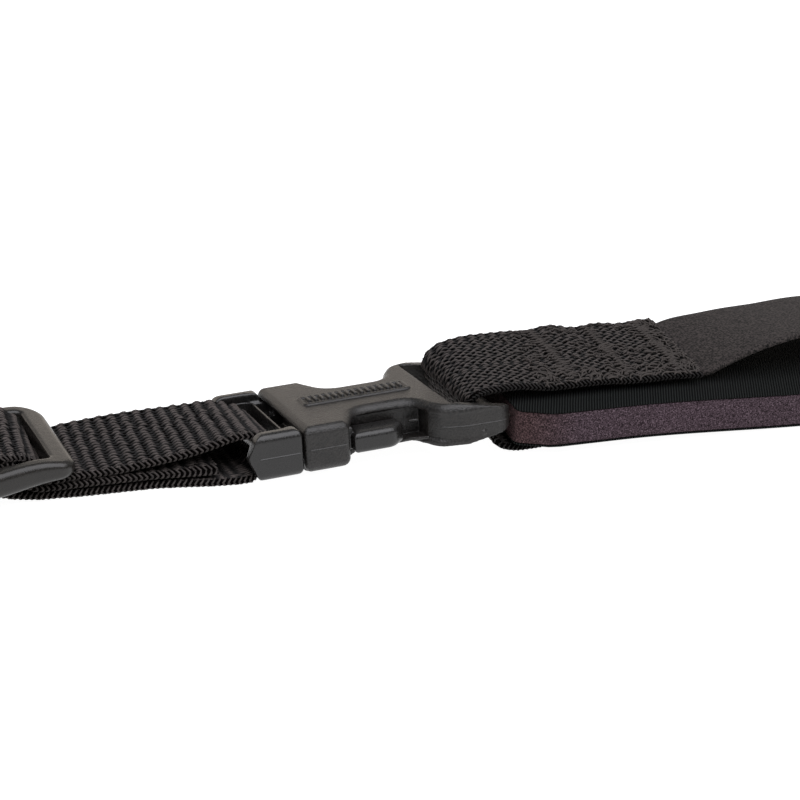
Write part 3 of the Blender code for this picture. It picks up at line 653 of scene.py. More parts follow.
def makeWeaveTree(inputs):
    tree, given = newTree("webbingWeave", inputs)
    side, along = attribute(tree, "side"), attribute(tree, "along")
    across, face, forward = [attribute(tree, name, "FLOAT_VECTOR") for name in ("across", "face", "forward")]
    lines = put(tree, "GeometryNodeMeshToCurve", {"Mesh": given["Geometry"]})
    faceUp = {"Normal": face}

    # warp yarns
    isYarn = side.calc("ABSOLUTE").calc("GREATER_THAN", 0.5)
    chosen = {"Geometry": lines, "Selection": isYarn, "Amount": given["Columns"]}
    copies = newNode(tree, "GeometryNodeDuplicateElements", chosen, domain="SPLINE").outputs
    yarns, column = Value(copies["Geometry"]), Value(copies["Duplicate Index"])
    seeded = given["Seed"] + column * 7.3
    uneven = noiseOf(combine(tree, along * 300.0, seeded, side), 1.0, 1.0) - 0.5
    slip = put(tree, "FunctionNodeRandomValue", {"ID": column, "Seed": 5}, 1, data_type="FLOAT")
    slip = (slip - 0.5) * given["Slip"]
    phase = (along / given["Pitch"] + column * given["Twill"] + slip + uneven * 0.26) * (2 * math.pi)
    wave = phase.calc("COSINE").scaleAdd(0.5, 0.5).calc("POWER", given["Sharpness"])
    # crest drives painted shade in the yarn's colour, darkest where the wave dips into a groove
    ends = {"Value": wave, "From Min": 0.26, "From Max": 0.82}
    crest = put(tree, "ShaderNodeMapRange", ends, interpolation_type="SMOOTHSTEP")
    # every second groove is the deep one, and the lower face lies a little nearer
    odd = column.calc("MODULO", 2.0)
    groove = odd.scaleAdd(given["Shallow Groove"] - given["Deep Groove"], given["Deep Groove"])
    height = given["Rise"] - groove * (1.0 - wave) + uneven * given["Uneven"]
    height = height * (side * 0.875 + 0.125)
    sway = (phase + seeded).calc("SINE") * given["Sway"]
    outwards = (column / (given["Columns"] - 1.0) - 0.5).scaleAdd(given["Span"], sway)
    shifts = {0: scaleVector(across, outwards), 1: scaleVector(face, height)}
    yarns = store(store(yarns, "column", column, "CURVE"), "crest", crest)
    yarns = moved(yarns, put(tree, "ShaderNodeVectorMath", shifts, operation="ADD"))
    yarns = put(tree, "GeometryNodeSetCurveNormal", {"Curve": yarns, **faceUp}, mode="FREE")
    radius = 0.53
    # flankShade paints shade on each yarn's sides, 0 along its middle and 1 at its edges
    flankShade = parts(put(tree, "GeometryNodeInputPosition"))[1].calc("ABSOLUTE") / radius
    ring = store(circle(tree, 4, radius), "flankShade", flankShade)
    size = combine(tree, given["Yarn Thickness"], given["Yarn Width"], 1.0)
    pieces = [sweep(yarns, put(tree, "GeometryNodeTransform", {"Geometry": ring, "Scale": size}))]

    # slanted strands round both edges, where each strand's own Y points to the front
    every = put(tree, "GeometryNodeInputIndex").calc("MODULO", given["Edge Every"])
    chosen = every.calc("COMPARE", 0.0, 0.1) * side.calc("GREATER_THAN", 0.5)
    axes = {"Primary Axis": forward, "Secondary Axis": face}
    turn = put(tree, "FunctionNodeAxesToRotation", axes, primary_axis="X", secondary_axis="Z")
    ring = circle(tree, 4, given["Edge Radius"])
    for edge, half in ((-1.0, -1.0), (1.0, 1.0), (1.0, -1.0)):
        rim = given["Half Width"] * edge
        start, middle, end = [combine(tree, x, rim + y * edge, z * half) for x, y, z in edgeStrand]
        bend = {"Resolution": 3, "Start": start, "Middle": middle, "End": end}
        strand = sweep(put(tree, "GeometryNodeCurveQuadraticBezier", bend), ring)
        # the edge strands get painted shade, as strong as Edge Shade
        strand = store(store(strand, "crest", 0.95), "flankShade", given["Edge Shade"])
        spread = {"Points": given["Geometry"], "Selection": chosen, "Instance": strand, "Rotation": turn}
        pieces.append(put(tree, "GeometryNodeInstanceOnPoints", spread))

    # a cord along each edge and a dark slab between the two faces, both near black, painted shade where they
    # show between the yarns
    isInner = side.calc("ABSOLUTE").calc("LESS_THAN", 0.5)
    chosen = {"Geometry": lines, "Selection": isInner}
    spine = put(tree, "GeometryNodeSeparateGeometry", chosen, domain="CURVE")
    spine = put(tree, "GeometryNodeSetCurveNormal", {"Curve": spine, **faceUp}, mode="FREE")
    wide = given["Half Width"].scaleAdd(2.0, -innerSlab["narrower"])
    slabSize = {"Width": innerSlab["thickness"], "Height": wide}
    hidden = [sweep(spine, put(tree, "GeometryNodeCurvePrimitiveQuadrilateral", slabSize))]
    ring = circle(tree, 8, 0.5)
    for edge, thick in ((1.0, edgeCord["back"]), (-1.0, edgeCord["front"])):
        rim = (given["Half Width"] - edgeCord["inset"]) * edge
        shape = {"Geometry": ring, "Scale": (thick, edgeCord["wide"], 1.0)}
        cord = moved(spine, scaleVector(across, rim))
        hidden.append(sweep(cord, put(tree, "GeometryNodeTransform", shape)))
    pieces.append(store(together(hidden), "inside", 1.0, "FACE"))
    isInside = attribute(tree, "inside").calc("GREATER_THAN", 0.5)
    paints = [{"Material": given["Yarn"]}, {"Material": given["Core"], "Selection": isInside}]
    return finishTree(together(pieces), paints)


def faceOutwards(mesh):
    work = bmesh.new()
    work.from_mesh(mesh)
    bmesh.ops.recalc_face_normals(work, faces=work.faces)
    work.to_mesh(mesh)
    work.free()


def applied(obj, name):
    # the object's modifiers turned into a plain mesh
    bpy.context.view_layer.update()
    graph = bpy.context.evaluated_depsgraph_get()
    mesh = bpy.data.meshes.new_from_object(obj.evaluated_get(graph))
    bpy.data.objects.remove(obj, do_unlink=True)
    mesh.name = name
    return link(bpy.data.objects.new(name, mesh))


def nodesToMesh(obj, tree, values, name):
    modifier = obj.modifiers.new("nodes", "NODES")
    modifier.node_group = tree
    for item in tree.interface.items_tree:
        if item.item_type == "SOCKET" and item.in_out == "INPUT" and item.name in values:
            modifier[item.identifier] = values[item.name]
    piece = applied(obj, name)
    faceOutwards(piece.data)
    return piece


def triangles(mesh):
    return sum(len(polygon.vertices) - 2 for polygon in mesh.polygons)


def pathObject(rows, splines):
    # one line of points for each (side, step)
    verts, edges = [], []
    values = {"side": [], "along": [], "across": [], "face": [], "forward": []}
    for sideSign, step in splines:
        frames = walk(rows, step)
        edges += [(i, i + 1) for i in range(len(verts), len(verts) + len(frames) - 1)]
        for spot in frames:
            verts.append(spot["middle"])
            values["side"].append(sideSign)
            values["along"].append(spot["along"])
            for key in ("across", "face", "forward"):
                values[key].extend(spot[key])
    obj = meshObject("path", verts, [], edges)
    for key, numbers in values.items():
        single = key in ("side", "along")
        layer = obj.data.attributes.new(key, "FLOAT" if single else "FLOAT_VECTOR", "POINT")
        layer.data.foreach_set("value" if single else "vector", numbers)
    return obj


strapWebbing = {
    "Columns": 21,
    "Span": 0.0184,
    "Half Width": 0.0099,
    "Pitch": 0.00235,
    "Rise": 0.00048,
    "Deep Groove": 0.00066,
    "Shallow Groove": 0.0006,
    "Twill": 0.02,
    "Slip": 0.2,
    "Sharpness": 0.62,
    "Sway": 0.00009,
    "Uneven": 0.00018,
    "Yarn Width": 0.0008,
    "Yarn Thickness": 0.00062,
    "Edge Every": 2,
    "Edge Radius": 0.00019,
    "Edge Shade": 0.5,
    "Seed": 3.0,
    "Yarn": finishes["strapYarn"],
    "Core": finishes["core"],
}

padWebbing = {
    "Columns": 33,
    "Span": 0.0234,
    "Half Width": 0.0124,
    "Pitch": 0.0021,
    "Rise": 0.0004,
    "Deep Groove": 0.0005,
    "Shallow Groove": 0.00044,
    "Twill": 0.53,
    "Slip": 0.55,
    "Sharpness": 0.5,
    "Sway": 0.00012,
    "Uneven": 0.00016,
    "Yarn Width": 0.00062,
    "Yarn Thickness": 0.0005,
    "Edge Every": 2,
    "Edge Radius": 0.00016,
    "Edge Shade": 0.75,
    "Seed": 11.0,
    "Yarn": finishes["padYarn"],
    "Core": finishes["core"],
}


def makeWebbing(name, rows, inputs, perPitch):
    # steps on the upper face, longer ones on the lower face and short ones for the slab
    step = inputs["Pitch"] / perPitch
    path = pathObject(rows, [(1.0, step), (-1.0, step * 2.1), (0.0, 0.0012)])
    piece = nodesToMesh(path, weaveTree, inputs, name)
    print(name, triangles(piece.data), "triangles")
    return piece


weaveTree = makeWeaveTree(strapWebbing)
strapLeft = makeWebbing("strapWebbingLeft", strapRows(), strapWebbing, 4.8)
padWebLeft = makeWebbing("padEndWebbingLeft", padWebRows(), padWebbing, 5)
print("webbing woven")

# sewing

threadInputs = {"Radius": 0.00015, "Sides": 5, "Thread": finishes["thread"]}


def makeThreadTree(inputs):
    tree, given = newTree("sewnThread", inputs)
    lines = put(tree, "GeometryNodeMeshToCurve", {"Mesh": given["Geometry"]})
    lines = store(lines, "column", put(tree, "GeometryNodeInputIndex"), "CURVE")
    lines = store(lines, "along", put(tree, "GeometryNodeSplineParameter", out=1))
    tube = sweep(lines, circle(tree, given["Sides"], given["Radius"]))
    return finishTree(store(tube, "crest", 1.0), [{"Material": given["Thread"]}])


threadTree = makeThreadTree(threadInputs)

stitch = {
    "height": 0.0003,
    "zigzagLevel": 0.00068,
    "looseLevel": 0.00062,
    "looseLength": (0.0012, 0.0024),
    "step": 0.0002,
}

padStitches = {
    "radius": 0.00017,
    "across": (-0.011, 0.0106),
    # along, swing and pitch of each zigzag
    "rows": [(0.0045, 0.0011, 0.0005), (0.015, 0.001, 0.00055), (0.0265, 0.0011, 0.00055)],
    # count, along, across, turn and its spread in degrees
    "loose": [
        (190, (0.0008, 0.0335), (-0.0116, 0.0108), 4.0, 24.0),
        (110, (0.0006, 0.0335), (-0.0124, -0.0084), -25.0, 36.0),
        (50, (0.0006, 0.004), (-0.012, 0.0108), 70.0, 28.0),
    ],
}

strapTacks = {"half": 0.0086, "swing": 0.0009, "pitch": 0.0005, "fold": (0.004, 0.022), "eye": (0.004, 0.018)}

# the sewn part of the pad's webbing bends down over the edge of the band
sewnDown = {
    "along": (-0.2935, -0.286),
    "front": (0.0076, 0.0124),
    "depth": 0.0007,
    "waves": 0.00028,
    "waveRate": 610.0,
    "wavesAlong": (-0.29, -0.28),
    "wavesBack": (0.0, 0.01),
    "below": 0.003,
    "until": -0.24,
}

# the leg on the floor runs a little nearer to the front before the buckle
lowerLeg = {"shift": 0.0028, "from": (-0.364, -0.347), "to": (-0.3448, -0.342), "height": (0.0018, 0.0026)}


def onWebbing(frames, along, across, level):
    base = min(frames, key=lambda spot: abs(spot["along"] - along))
    return base["middle"] + base["across"] * across + base["face"] * level


def zigzag(frames, start, end, swing, pitch, side=1.0):
    # a dense zigzag from one place on the webbing to another, as points of one thread
    run = Vector((end[0] - start[0], end[1] - start[1]))
    count = max(2, round(run.length / pitch))
    sideways = Vector((-run.y, run.x)).normalized() * swing
    points = []
    for i in range(count + 1):
        spot = Vector(start) + run * (i / count)
        way = 1.0 if i % 2 else -1.0
        jitter = 1.0 + random.uniform(-0.15, 0.15)
        for share, height in ((0.0, 0.62), (way, 0.3)):
            at = spot + sideways * share * jitter
            level = stitch["zigzagLevel"] + stitch["height"] * height
            points.append(onWebbing(frames, at.x, at.y, side * level))
    return points


def looseStitches(frames, count, along, across, turn, spread):
    # short curved stitches strewn over an area of the webbing, lengths and turns uneven
    strands = []
    for _ in range(count):
        start = Vector((random.uniform(*along), random.uniform(*across)))
        angle = math.radians(random.gauss(turn, spread))
        reach = Vector((math.cos(angle), math.sin(angle))) * random.uniform(*stitch["looseLength"])
        bow = Vector((-reach.y, reach.x)) * random.uniform(-0.22, 0.22)
        strand = []
        for share, height, curve in ((-0.5, 0.0, 0.0), (-0.25, 0.8, 0.8), (0.25, 1.0, 0.8), (0.5, 0.0, 0.0)):
            at = start + reach * share + bow * curve
            strand.append(onWebbing(frames, at.x, at.y, stitch["looseLevel"] + stitch["height"] * height))
        strands.append(strand)
    return strands


def threadPiece(name, strands, radius):
    verts, edges = [], []
    for strand in strands:
        edges += [(i, i + 1) for i in range(len(verts), len(verts) + len(strand) - 1)]
        verts += strand
    path = meshObject("stitches", verts, [], edges)
    return nodesToMesh(path, threadTree, {**threadInputs, "Radius": radius}, name)


def sewPad(setup):
    frames = walk(padWebRows(), stitch["step"])
    front, back = setup["across"]
    strands = [zigzag(frames, (at, front), (at, back), swing, pitch) for at, swing, pitch in setup["rows"]]
    for row in setup["loose"]:
        strands += looseStitches(frames, *row)
    return threadPiece("padStitchesLeft", strands, setup["radius"])


def sewStrap(setup):
    # the fold by the slider, the strap's end and the eye at the camera end
    frames = walk(strapRows(), stitch["step"])
    half, size = setup["half"], (setup["swing"], setup["pitch"])
    near, far = [frames[-1]["along"] - distance for distance in setup["eye"]]
    strands = [zigzag(frames, (at, -half), (at, half), *size) for at in setup["fold"]]
    inner = half - 0.0006
    for start, end in (
        ((near, -half), (near, half)),
        ((far, -half), (far, half)),
        ((far, -inner), (near, inner)),
        ((far, inner), (near, -inner)),
    ):
        strands.append(zigzag(frames, start, end, *size, -1.0))
    return threadPiece("strapStitchesLeft", strands, threadInputs["Radius"])


def pressFrontEdge(piece, press):
    for vert in piece.data.vertices:
        x, y, z = vert.co
        reach = smoothStep(x, *press["along"]) * smoothStep(-y, *press["front"])
        waves = press["waves"] * math.sin(x * press["waveRate"] + 1.0) * smoothStep(x, *press["wavesAlong"])
        if z > padFaceHeight(x, 1) - press["below"] and x < press["until"]:
            vert.co.z = z - press["depth"] * reach + waves * smoothStep(y, *press["wavesBack"])


def drawLowerLeg(piece, leg):
    for vert in piece.data.vertices:
        x, y, z = vert.co
        reach = smoothStep(x, *leg["from"]) * (1.0 - smoothStep(x, *leg["to"]))
        vert.co.y = y - leg["shift"] * reach * (1.0 - smoothStep(z, *leg["height"]))


padThreadLeft = sewPad(padStitches)
strapThreadLeft = sewStrap(strapTacks)
for piece in (padWebLeft, padThreadLeft):
    pressFrontEdge(piece, sewnDown)
drawLowerLeg(strapLeft, lowerLeg)
print("sewing done")

# neck pad and control band


def flatBar(halfWidth, halfHeight, radius, columns):
    # outline of a flat bar with rounded edges, counter-clockwise from the lower front
    x, y = halfWidth - radius, halfHeight - radius
    outline = []
    for cx, cy, first in ((x, -y, -90), (x, y, 0), (-x, y, 90), (-x, -y, 180)):
        for angle in [math.radians(first + turn) for turn in (0, 30, 60, 90)]:
            outline.append((cx + radius * math.cos(angle), cy + radius * math.sin(angle)))
        if first in (0, 180):
            face = math.copysign(halfHeight, cy)
            outline += [(cx - 2 * cx * i / columns, face) for i in range(1, columns)]
    return outline


def tubeMesh(rings):
    # points and faces of a closed tube through rings of one size
    size, last = len(rings[0]), (len(rings) - 1) * len(rings[0])
    faces = []
    for k in range(0, last, size):
        for i in range(size):
            j = (i + 1) % size
            faces.append((k + i, k + j, k + size + j, k + size + i))
    faces += [tuple(range(size))[::-1], tuple(range(last, last + size))]
    return [point for ring in rings for point in ring], faces


def loft(name, rings, material):
    obj = meshObject(name, *tubeMesh(rings))
    faceOutwards(obj.data)
    obj.data.materials.append(material)
    obj.data.shade_smooth()
    obj.data.set_sharp_from_angle(angle=math.radians(50))
    return obj


def padStations(step):
    start = pad["tipRadius"] - pad["tipOver"]
    tip = [start - pad["tipRadius"] * math.cos(math.radians(a)) for a in range(0, 90, 10)]
    count = round((pad["halfLength"] - start) / step)
    half = tip + [start + (pad["halfLength"] - start) * i / count for i in range(count + 1)]
    return half + [2 * pad["halfLength"] - u for u in reversed(half[:-1])]


def padLayer(name, level, thickness, radius, material, uneven=0.0):
    rings = []
    for station in padStations(pad["station"]):
        u = min(station, 2 * pad["halfLength"] - station)
        tilt, width = padTilt(u), padHalfWidth(u)
        across = Vector((0.0, math.cos(tilt), math.sin(tilt)))
        up = Vector((0.0, -math.sin(tilt), math.cos(tilt)))
        middle = Vector((station - pad["halfLength"], 0.0, padMiddleHeight(u))) + up * level
        ring = []
        for y, z in flatBar(width, thickness / 2, radius, pad["columns"]):
            place = middle + across * y + up * z
            if uneven and abs(y) > width - radius * 1.5:
                place += across * uneven * noise.noise(place * 130.0)
            ring.append(place)
        rings.append(ring)
    return loft(name, rings, material)


def makeBand(shape):
    rings = []
    outline = flatBar(shape["width"] / 2, shape["thickness"] / 2, shape["edge"], shape["columns"])
    for spot in walk(bandRows(), shape["step"]):
        covered = 1.0 - smoothStep(pad["halfLength"] - abs(spot["middle"].x), *shape["covered"])
        share = 1.0 - shape["narrowed"] * covered
        rings.append([spot["middle"] + spot["across"] * y * share + spot["face"] * z for y, z in outline])
    return loft("controlBand", rings, finishes["band"])


foam = padLayer("padFoam", 0.0, pad["foam"], pad["foamEdge"], finishes["foam"], pad["foamUneven"])
jerseyLevel = pad["foam"] / 2 + pad["layerGap"] + pad["jersey"] / 2 - pad["pressedIn"]
knit = (pad["jersey"], pad["jerseyEdge"], finishes["jersey"])
jerseyTop = padLayer("padJerseyTop", jerseyLevel, *knit)
jerseyBottom = padLayer("padJerseyBottom", -jerseyLevel, *knit)
controlBand = makeBand(band)
print("pad and band laid")

# hard plastic pieces: distance fields on a fine grid, turned into meshes with every edge rounded


def roundedOutline(rows, steps=6):
    result = []
    points = [Vector(row[:2]) for row in rows]
    for i, corner in enumerate(points):
        radius = rows[i][2]
        if radius == 0.0:
            result.append(tuple(corner))
            continue
        back = (points[i - 1] - corner).normalized()
        ahead = (points[(i + 1) % len(points)] - corner).normalized()
        half = back.angle(ahead) / 2
        reach = radius / math.tan(half)
        centre = corner + (back + ahead).normalized() * (radius / math.sin(half))
        start = (corner + back * reach - centre).normalized()
        end = (corner + ahead * reach - centre).normalized()
        result += [tuple(centre + start.slerp(end, j / steps) * radius) for j in range(steps + 1)]
    return result


def bothSides(rows):
    return rows + [(s, -y, radius) for s, y, radius in reversed(rows)]


def makeGrid(low, high, cell):
    axes = [np.arange(a, b + cell, cell) for a, b in zip(low, high)]
    s, y, h = axes[0][:, None, None], axes[1][None, :, None], axes[2][None, None, :]
    return {"axes": axes, "cell": cell, "s": s, "y": y, "h": h}


def folded(grid):
    # a shape laid on the front half of this grid comes out on both sides
    s, y, h = grid["axes"]
    return dict(grid, axes=[s, -np.abs(y), h], y=-np.abs(grid["y"]))


def flatDistance(outline, first, second):
    # signed distance from an outline, on a flat grid
    u, v = np.meshgrid(first, second, indexing="ij")
    best = np.full(u.shape, 1.0)
    inside = np.zeros(u.shape, bool)
    for (ax, ay), (bx, by) in zip(outline, outline[1:] + outline[:1]):
        ex, ey = bx - ax, by - ay
        length = ex * ex + ey * ey
        if length < 1e-16:
            continue
        t = np.clip(((u - ax) * ex + (v - ay) * ey) / length, 0.0, 1.0)
        best = np.minimum(best, (u - ax - t * ex) ** 2 + (v - ay - t * ey) ** 2)
        if ay != by:
            inside ^= ((ay > v) != (by > v)) & (u < ex * (v - ay) / ey + ax)
    return np.where(inside, -1.0, 1.0) * np.sqrt(best)


def fromAbove(grid, rows, steps=6):
    return flatDistance(roundedOutline(rows, steps), grid["axes"][0], grid["axes"][1])[:, :, None]


def fromSide(grid, rows):
    return flatDistance(roundedOutline(rows), grid["axes"][0], grid["axes"][2])[:, None, :]


def rounded(gaps, edge):
    # distances from pairs of parallel faces, brought together with a rounded edge
    gaps = [gap + edge for gap in gaps]
    inner = gaps[0]
    for gap in gaps[1:]:
        inner = np.maximum(inner, gap)
    return np.minimum(inner, 0.0) + np.sqrt(sum(np.maximum(gap, 0.0) ** 2 for gap in gaps)) - edge


def slab(flat, place, low, high, edge):
    return rounded([flat, np.abs(place - (low + high) / 2) - (high - low) / 2], edge)


def plan(grid, rows, low, high, edge):
    return slab(fromAbove(grid, rows), grid["h"], low, high, edge)


def block(grid, low, high, edge):
    sides = zip(("s", "y", "h"), low, high)
    return rounded([np.abs(grid[key] - (a + b) / 2) - (b - a) / 2 for key, a, b in sides], edge)


def crossBar(grid, bar, halfLength):
    ring = np.sqrt((grid["s"] - bar[0]) ** 2 + grid["h"] ** 2) - bar[1]
    return np.maximum(ring, np.abs(grid["y"]) - halfLength)


def rod(grid, start, end, radius):
    reach = [b - a for a, b in zip(start, end)]
    place = [grid[key] - a for key, a in zip(("s", "y", "h"), start)]
    t = np.clip(sum(p * e for p, e in zip(place, reach)) / sum(e * e for e in reach), 0.0, 1.0)
    return np.sqrt(sum((p - t * e) ** 2 for p, e in zip(place, reach))) - radius


def join(first, second, soft=0.0):
    if soft == 0.0:
        return np.minimum(first, second)
    share = np.clip(0.5 + 0.5 * (second - first) / soft, 0.0, 1.0)
    return second * (1.0 - share) + first * share - soft * share * (1.0 - share)


def cut(first, second, soft=0.0):
    return -join(-first, second, soft)


def gridMesh(grid, field):
    # one point in each cell that the surface passes through, one face round each edge that it crosses
    shape = [n - 1 for n in field.shape]
    total, hits = np.zeros((*shape, 3)), np.zeros(shape)
    crossings = []
    for axis in range(3):
        u, v = [k for k in range(3) if k != axis]
        start, stop = np.moveaxis(field, axis, 0)[:-1], np.moveaxis(field, axis, 0)[1:]
        crossed = (start < 0.0) != (stop < 0.0)
        share = np.where(crossed, start / np.where(crossed, start - stop, 1.0), 0.0)
        sums, counts = np.moveaxis(total, axis, 0), np.moveaxis(hits, axis, 0)
        for du, dv in ((0, 0), (0, 1), (1, 0), (1, 1)):
            part = (slice(None), slice(du, du + shape[u]), slice(dv, dv + shape[v]))
            here = crossed[part]
            counts += here
            sums[..., axis] += share[part]
            sums[..., u] += here * du
            sums[..., v] += here * dv
        crossings.append([np.moveaxis(values, 0, axis) for values in (crossed, start < 0.0)])
    active = hits > 0
    index = np.full(shape, -1, np.int64)
    index[active] = np.arange(active.sum())
    points = np.argwhere(active) + total[active] / hits[active][:, None]
    points = np.array([axis[0] for axis in grid["axes"]]) + points * grid["cell"]
    unit = np.eye(3, dtype=int)
    quads = []
    for axis, (crossed, startInside) in enumerate(crossings):
        u, v = [unit[k] for k in range(3) if k != axis]
        where = np.argwhere(crossed)
        cells = [where + du * u + dv * v for du, dv in ((-1, -1), (0, -1), (0, 0), (-1, 0))]
        ring = np.stack([index[tuple(cell.T)] for cell in cells], axis=1)
        flip = startInside[tuple(where.T)] == (axis == 1)
        ring[flip] = ring[flip][:, ::-1]
        quads.append(ring)
    return points.tolist(), np.concatenate(quads).tolist()


def gridPiece(name, grid, field, material, keep, place):
    points, quads = gridMesh(grid, field)
    obj = meshObject(name, points, quads)
    obj.modifiers.new("fewerFaces", "DECIMATE").ratio = keep
    piece = applied(obj, name)
    piece.data.transform(place)
    piece.data.materials.append(material)
    piece.data.shade_smooth()
    print(name, len(quads) * 2, "to", triangles(piece.data), "triangles")
    return piece


def addPartingLines(piece, lines, radius=0.00012):
    # fine moulding lines on both sides, each a thin closed rod with four sides
    work = bmesh.new()
    work.from_mesh(piece.data)
    for way, line in [(way, line) for way in (1.0, -1.0) for line in lines]:
        points = [buckleFrame() @ Vector((s, y * way, h)) for s, y, h in line]
        rings = []
        for i, point in enumerate(points):
            ahead = (points[min(i + 1, len(points) - 1)] - points[max(i - 1, 0)]).normalized()
            side = ahead.cross(Vector((0.0, 0.0, 1.0))).normalized() * radius
            rise = Vector((0.0, 0.0, radius))
            rings.append([point + side, point + rise, point - side, point - rise])
        verts, faces = tubeMesh(rings)
        made = [work.verts.new(vert) for vert in verts]
        bmesh.ops.recalc_face_normals(work, faces=[work.faces.new([made[i] for i in face]) for face in faces])
    work.to_mesh(piece.data)
    work.free()


# s runs from the buckle's mouth along it, y across, h up
socketShape = {
    "length": 0.0406,
    "halfHeight": 0.0041,
    "blockDepth": 0.0046,
    "shell": 0.0015,
    "blockHalf": 0.014,
    "plateWaist": 0.0074,
    "floorWaist": 0.0096,
    "tailHalf": 0.0155,
    "cavityHalf": 0.0122,
    "slot": (0.0287, 0.0427, 0.0133),  # start, end, half width
    "cell": 0.00022,
    "keep": 0.28,
    "ribs": 15,
    "ribsFrom": 0.0059,
    "ribsTo": 0.0239,
    "ribHalf": (0.00034, 0.0013),
    "plateMiddle": 0.0008,
    "webs": [
        # start and end of each
        ((0.0222, -0.0082, 0.0002), (0.0238, -0.0088, 0.0003)),
        ((0.0206, -0.0094, -0.0028), (0.0242, -0.0124, -0.0021)),
    ],
}


def makeSocket(shape):
    top, depth = shape["halfHeight"], shape["blockDepth"]
    inside = top - shape["shell"]
    wide, tail, end = shape["blockHalf"], shape["tailHalf"], shape["length"]
    grid = makeGrid((-0.0008, -0.0166, -0.0054), (0.0416, 0.0166, 0.0056), shape["cell"])
    bothHalves = folded(grid)
    # half outlines from above: s, y, corner radius
    rear = [(0.0305, -tail, 0.0), (end, -tail, 0.0038)]
    waist = -shape["plateWaist"]
    plate = [(0.0, -wide, 0.001), (0.0085, -wide, 0.0022), (0.0118, waist, 0.004)]
    plate += [(0.0224, waist, 0.0034), (0.0262, -tail + 0.0014, 0.003), *rear]
    waist = -shape["floorWaist"]
    floor = [(0.0, -wide + 0.001, 0.001), (0.0064, -wide + 0.001, 0.0012), (0.0078, waist, 0.0004)]
    floor += [(0.0224, waist, 0.002), (0.0262, -tail + 0.001, 0.003), *rear]
    mouth = [(0.0, -wide, 0.001), (0.0088, -wide, 0.0012)]
    back = [(0.0246, -0.0112, 0.0016), (0.0268, -tail + 0.001, 0.0034), (0.031, -tail, 0.0), rear[1]]
    # outlines from the side: s, h, corner radius
    side = [(0.0, -depth, 0.0005), (0.009, -depth, 0.0), (0.0098, -top, 0.0), (0.0112, -top + 0.0007, 0.0)]
    side += [(0.0222, -top + 0.0009, 0.0), (0.0256, -top + 0.0003, 0.0), (0.0312, -top + 0.0004, 0.0)]
    side += [(end, -top + 0.002, 0.003), (end, top - 0.0021, 0.0022)]
    side += [(0.0296, top, 0.008), (0.0, top, 0.0004)]
    blockSide = [(0.0, -depth, 0.0006), (0.0088, -depth, 0.0021), (0.0088, top, 0.0006), (0.0, top, 0.0006)]
    # plate, rounded along its top rim only, then floor, mouth and tail
    body = np.maximum(plan(grid, bothSides(plate), inside - 0.004, top, 0.0018), inside - grid["h"])
    body = join(body, plan(grid, bothSides(floor), -top - 0.0004, -inside, 0.0006))
    mouthBlock = np.maximum(plan(grid, bothSides(mouth), -depth, top, 0.0016), fromSide(grid, blockSide))
    body = join(body, mouthBlock, 0.0002)
    body = join(body, plan(grid, bothSides(back), -top - 0.0004, top, 0.0017), 0.0005)
    half = shape["cavityHalf"]
    body = cut(body, block(grid, (-0.005, -half, -inside), (0.011, half, inside), 0.0004), 0.0002)
    start, stop, half = shape["slot"]
    slot = bothSides([(start, -half, 0.0008), (stop, -half, 0.0)])
    body = cut(body, plan(grid, slot, -0.01, 0.01, 0.0), 0.0007)
    body = join(body, crossBar(grid, buckle["endBar"], half + 0.001), 0.0006)
    body = np.maximum(body, fromSide(grid, side))
    # low plate on top with a rim, stepped ends and a row of short ribs
    middle = shape["plateMiddle"]
    shifted = dict(grid, axes=[grid["axes"][0], grid["axes"][1] - middle, grid["axes"][2]])
    bed = [(0.0044, -0.0019, 0.0003), (0.0049, -0.0026, 0.0003)]
    bed += [(0.0248, -0.0026, 0.0003), (0.0254, -0.0019, 0.0003)]
    pocket = [(0.0051, -0.0017, 0.0002), (0.0246, -0.0017, 0.0002)]
    raised = plan(shifted, bothSides(bed), top - 0.0006, top + 0.00035, 0.00012)
    raised = cut(raised, plan(shifted, bothSides(pocket), top, top + 0.002, 0.0001))
    ribLong, ribWide = shape["ribHalf"]
    for i in range(shape["ribs"]):
        s = shape["ribsFrom"] + (shape["ribsTo"] - shape["ribsFrom"]) * i / (shape["ribs"] - 1)
        low = (s - ribLong, middle - ribWide, top - 0.0004)
        high = (s + ribLong, middle + ribWide, top + 0.00065)
        raised = join(raised, block(grid, low, high, 0.0001))
    body = join(body, raised, 0.0001)
    # a wall and low webs inside, behind the release tabs, and a moulding pip on each side
    body = join(body, block(bothHalves, (0.0108, -0.0071, -inside), (0.0262, -0.006, inside), 0.0003))
    for begin, finish in shape["webs"]:
        body = join(body, rod(bothHalves, begin, finish, 0.00032))
    pip = (0.034, 0.0002 - tail, -0.0019)
    body = join(body, rod(bothHalves, pip, (pip[0] + 0.0001, *pip[1:]), 0.00055), 0.0001)
    piece = gridPiece("buckleSocketLeft", grid, body, finishes["socket"], shape["keep"], buckleFrame())
    mouthLine = [(s, -wide, -0.0002) for s in (0.001, 0.0045, 0.0079)]
    rearLine = [(s, y) for s, y in roundedOutline(bothSides(back)) if y < -0.0125 and s > 0.0262]
    rearLine = [(s, y, -0.0001 - 0.012 * (s - 0.026)) for s, y in rearLine]
    addPartingLines(piece, [mouthLine, rearLine])
    return piece


plugShape = {
    "start": -0.0079,
    "nose": -0.0105,
    "end": -0.0003,
    "windowEnd": -0.0023,
    "windowHalf": 0.0112,
    "cell": 0.00022,
    "keep": 0.28,
}


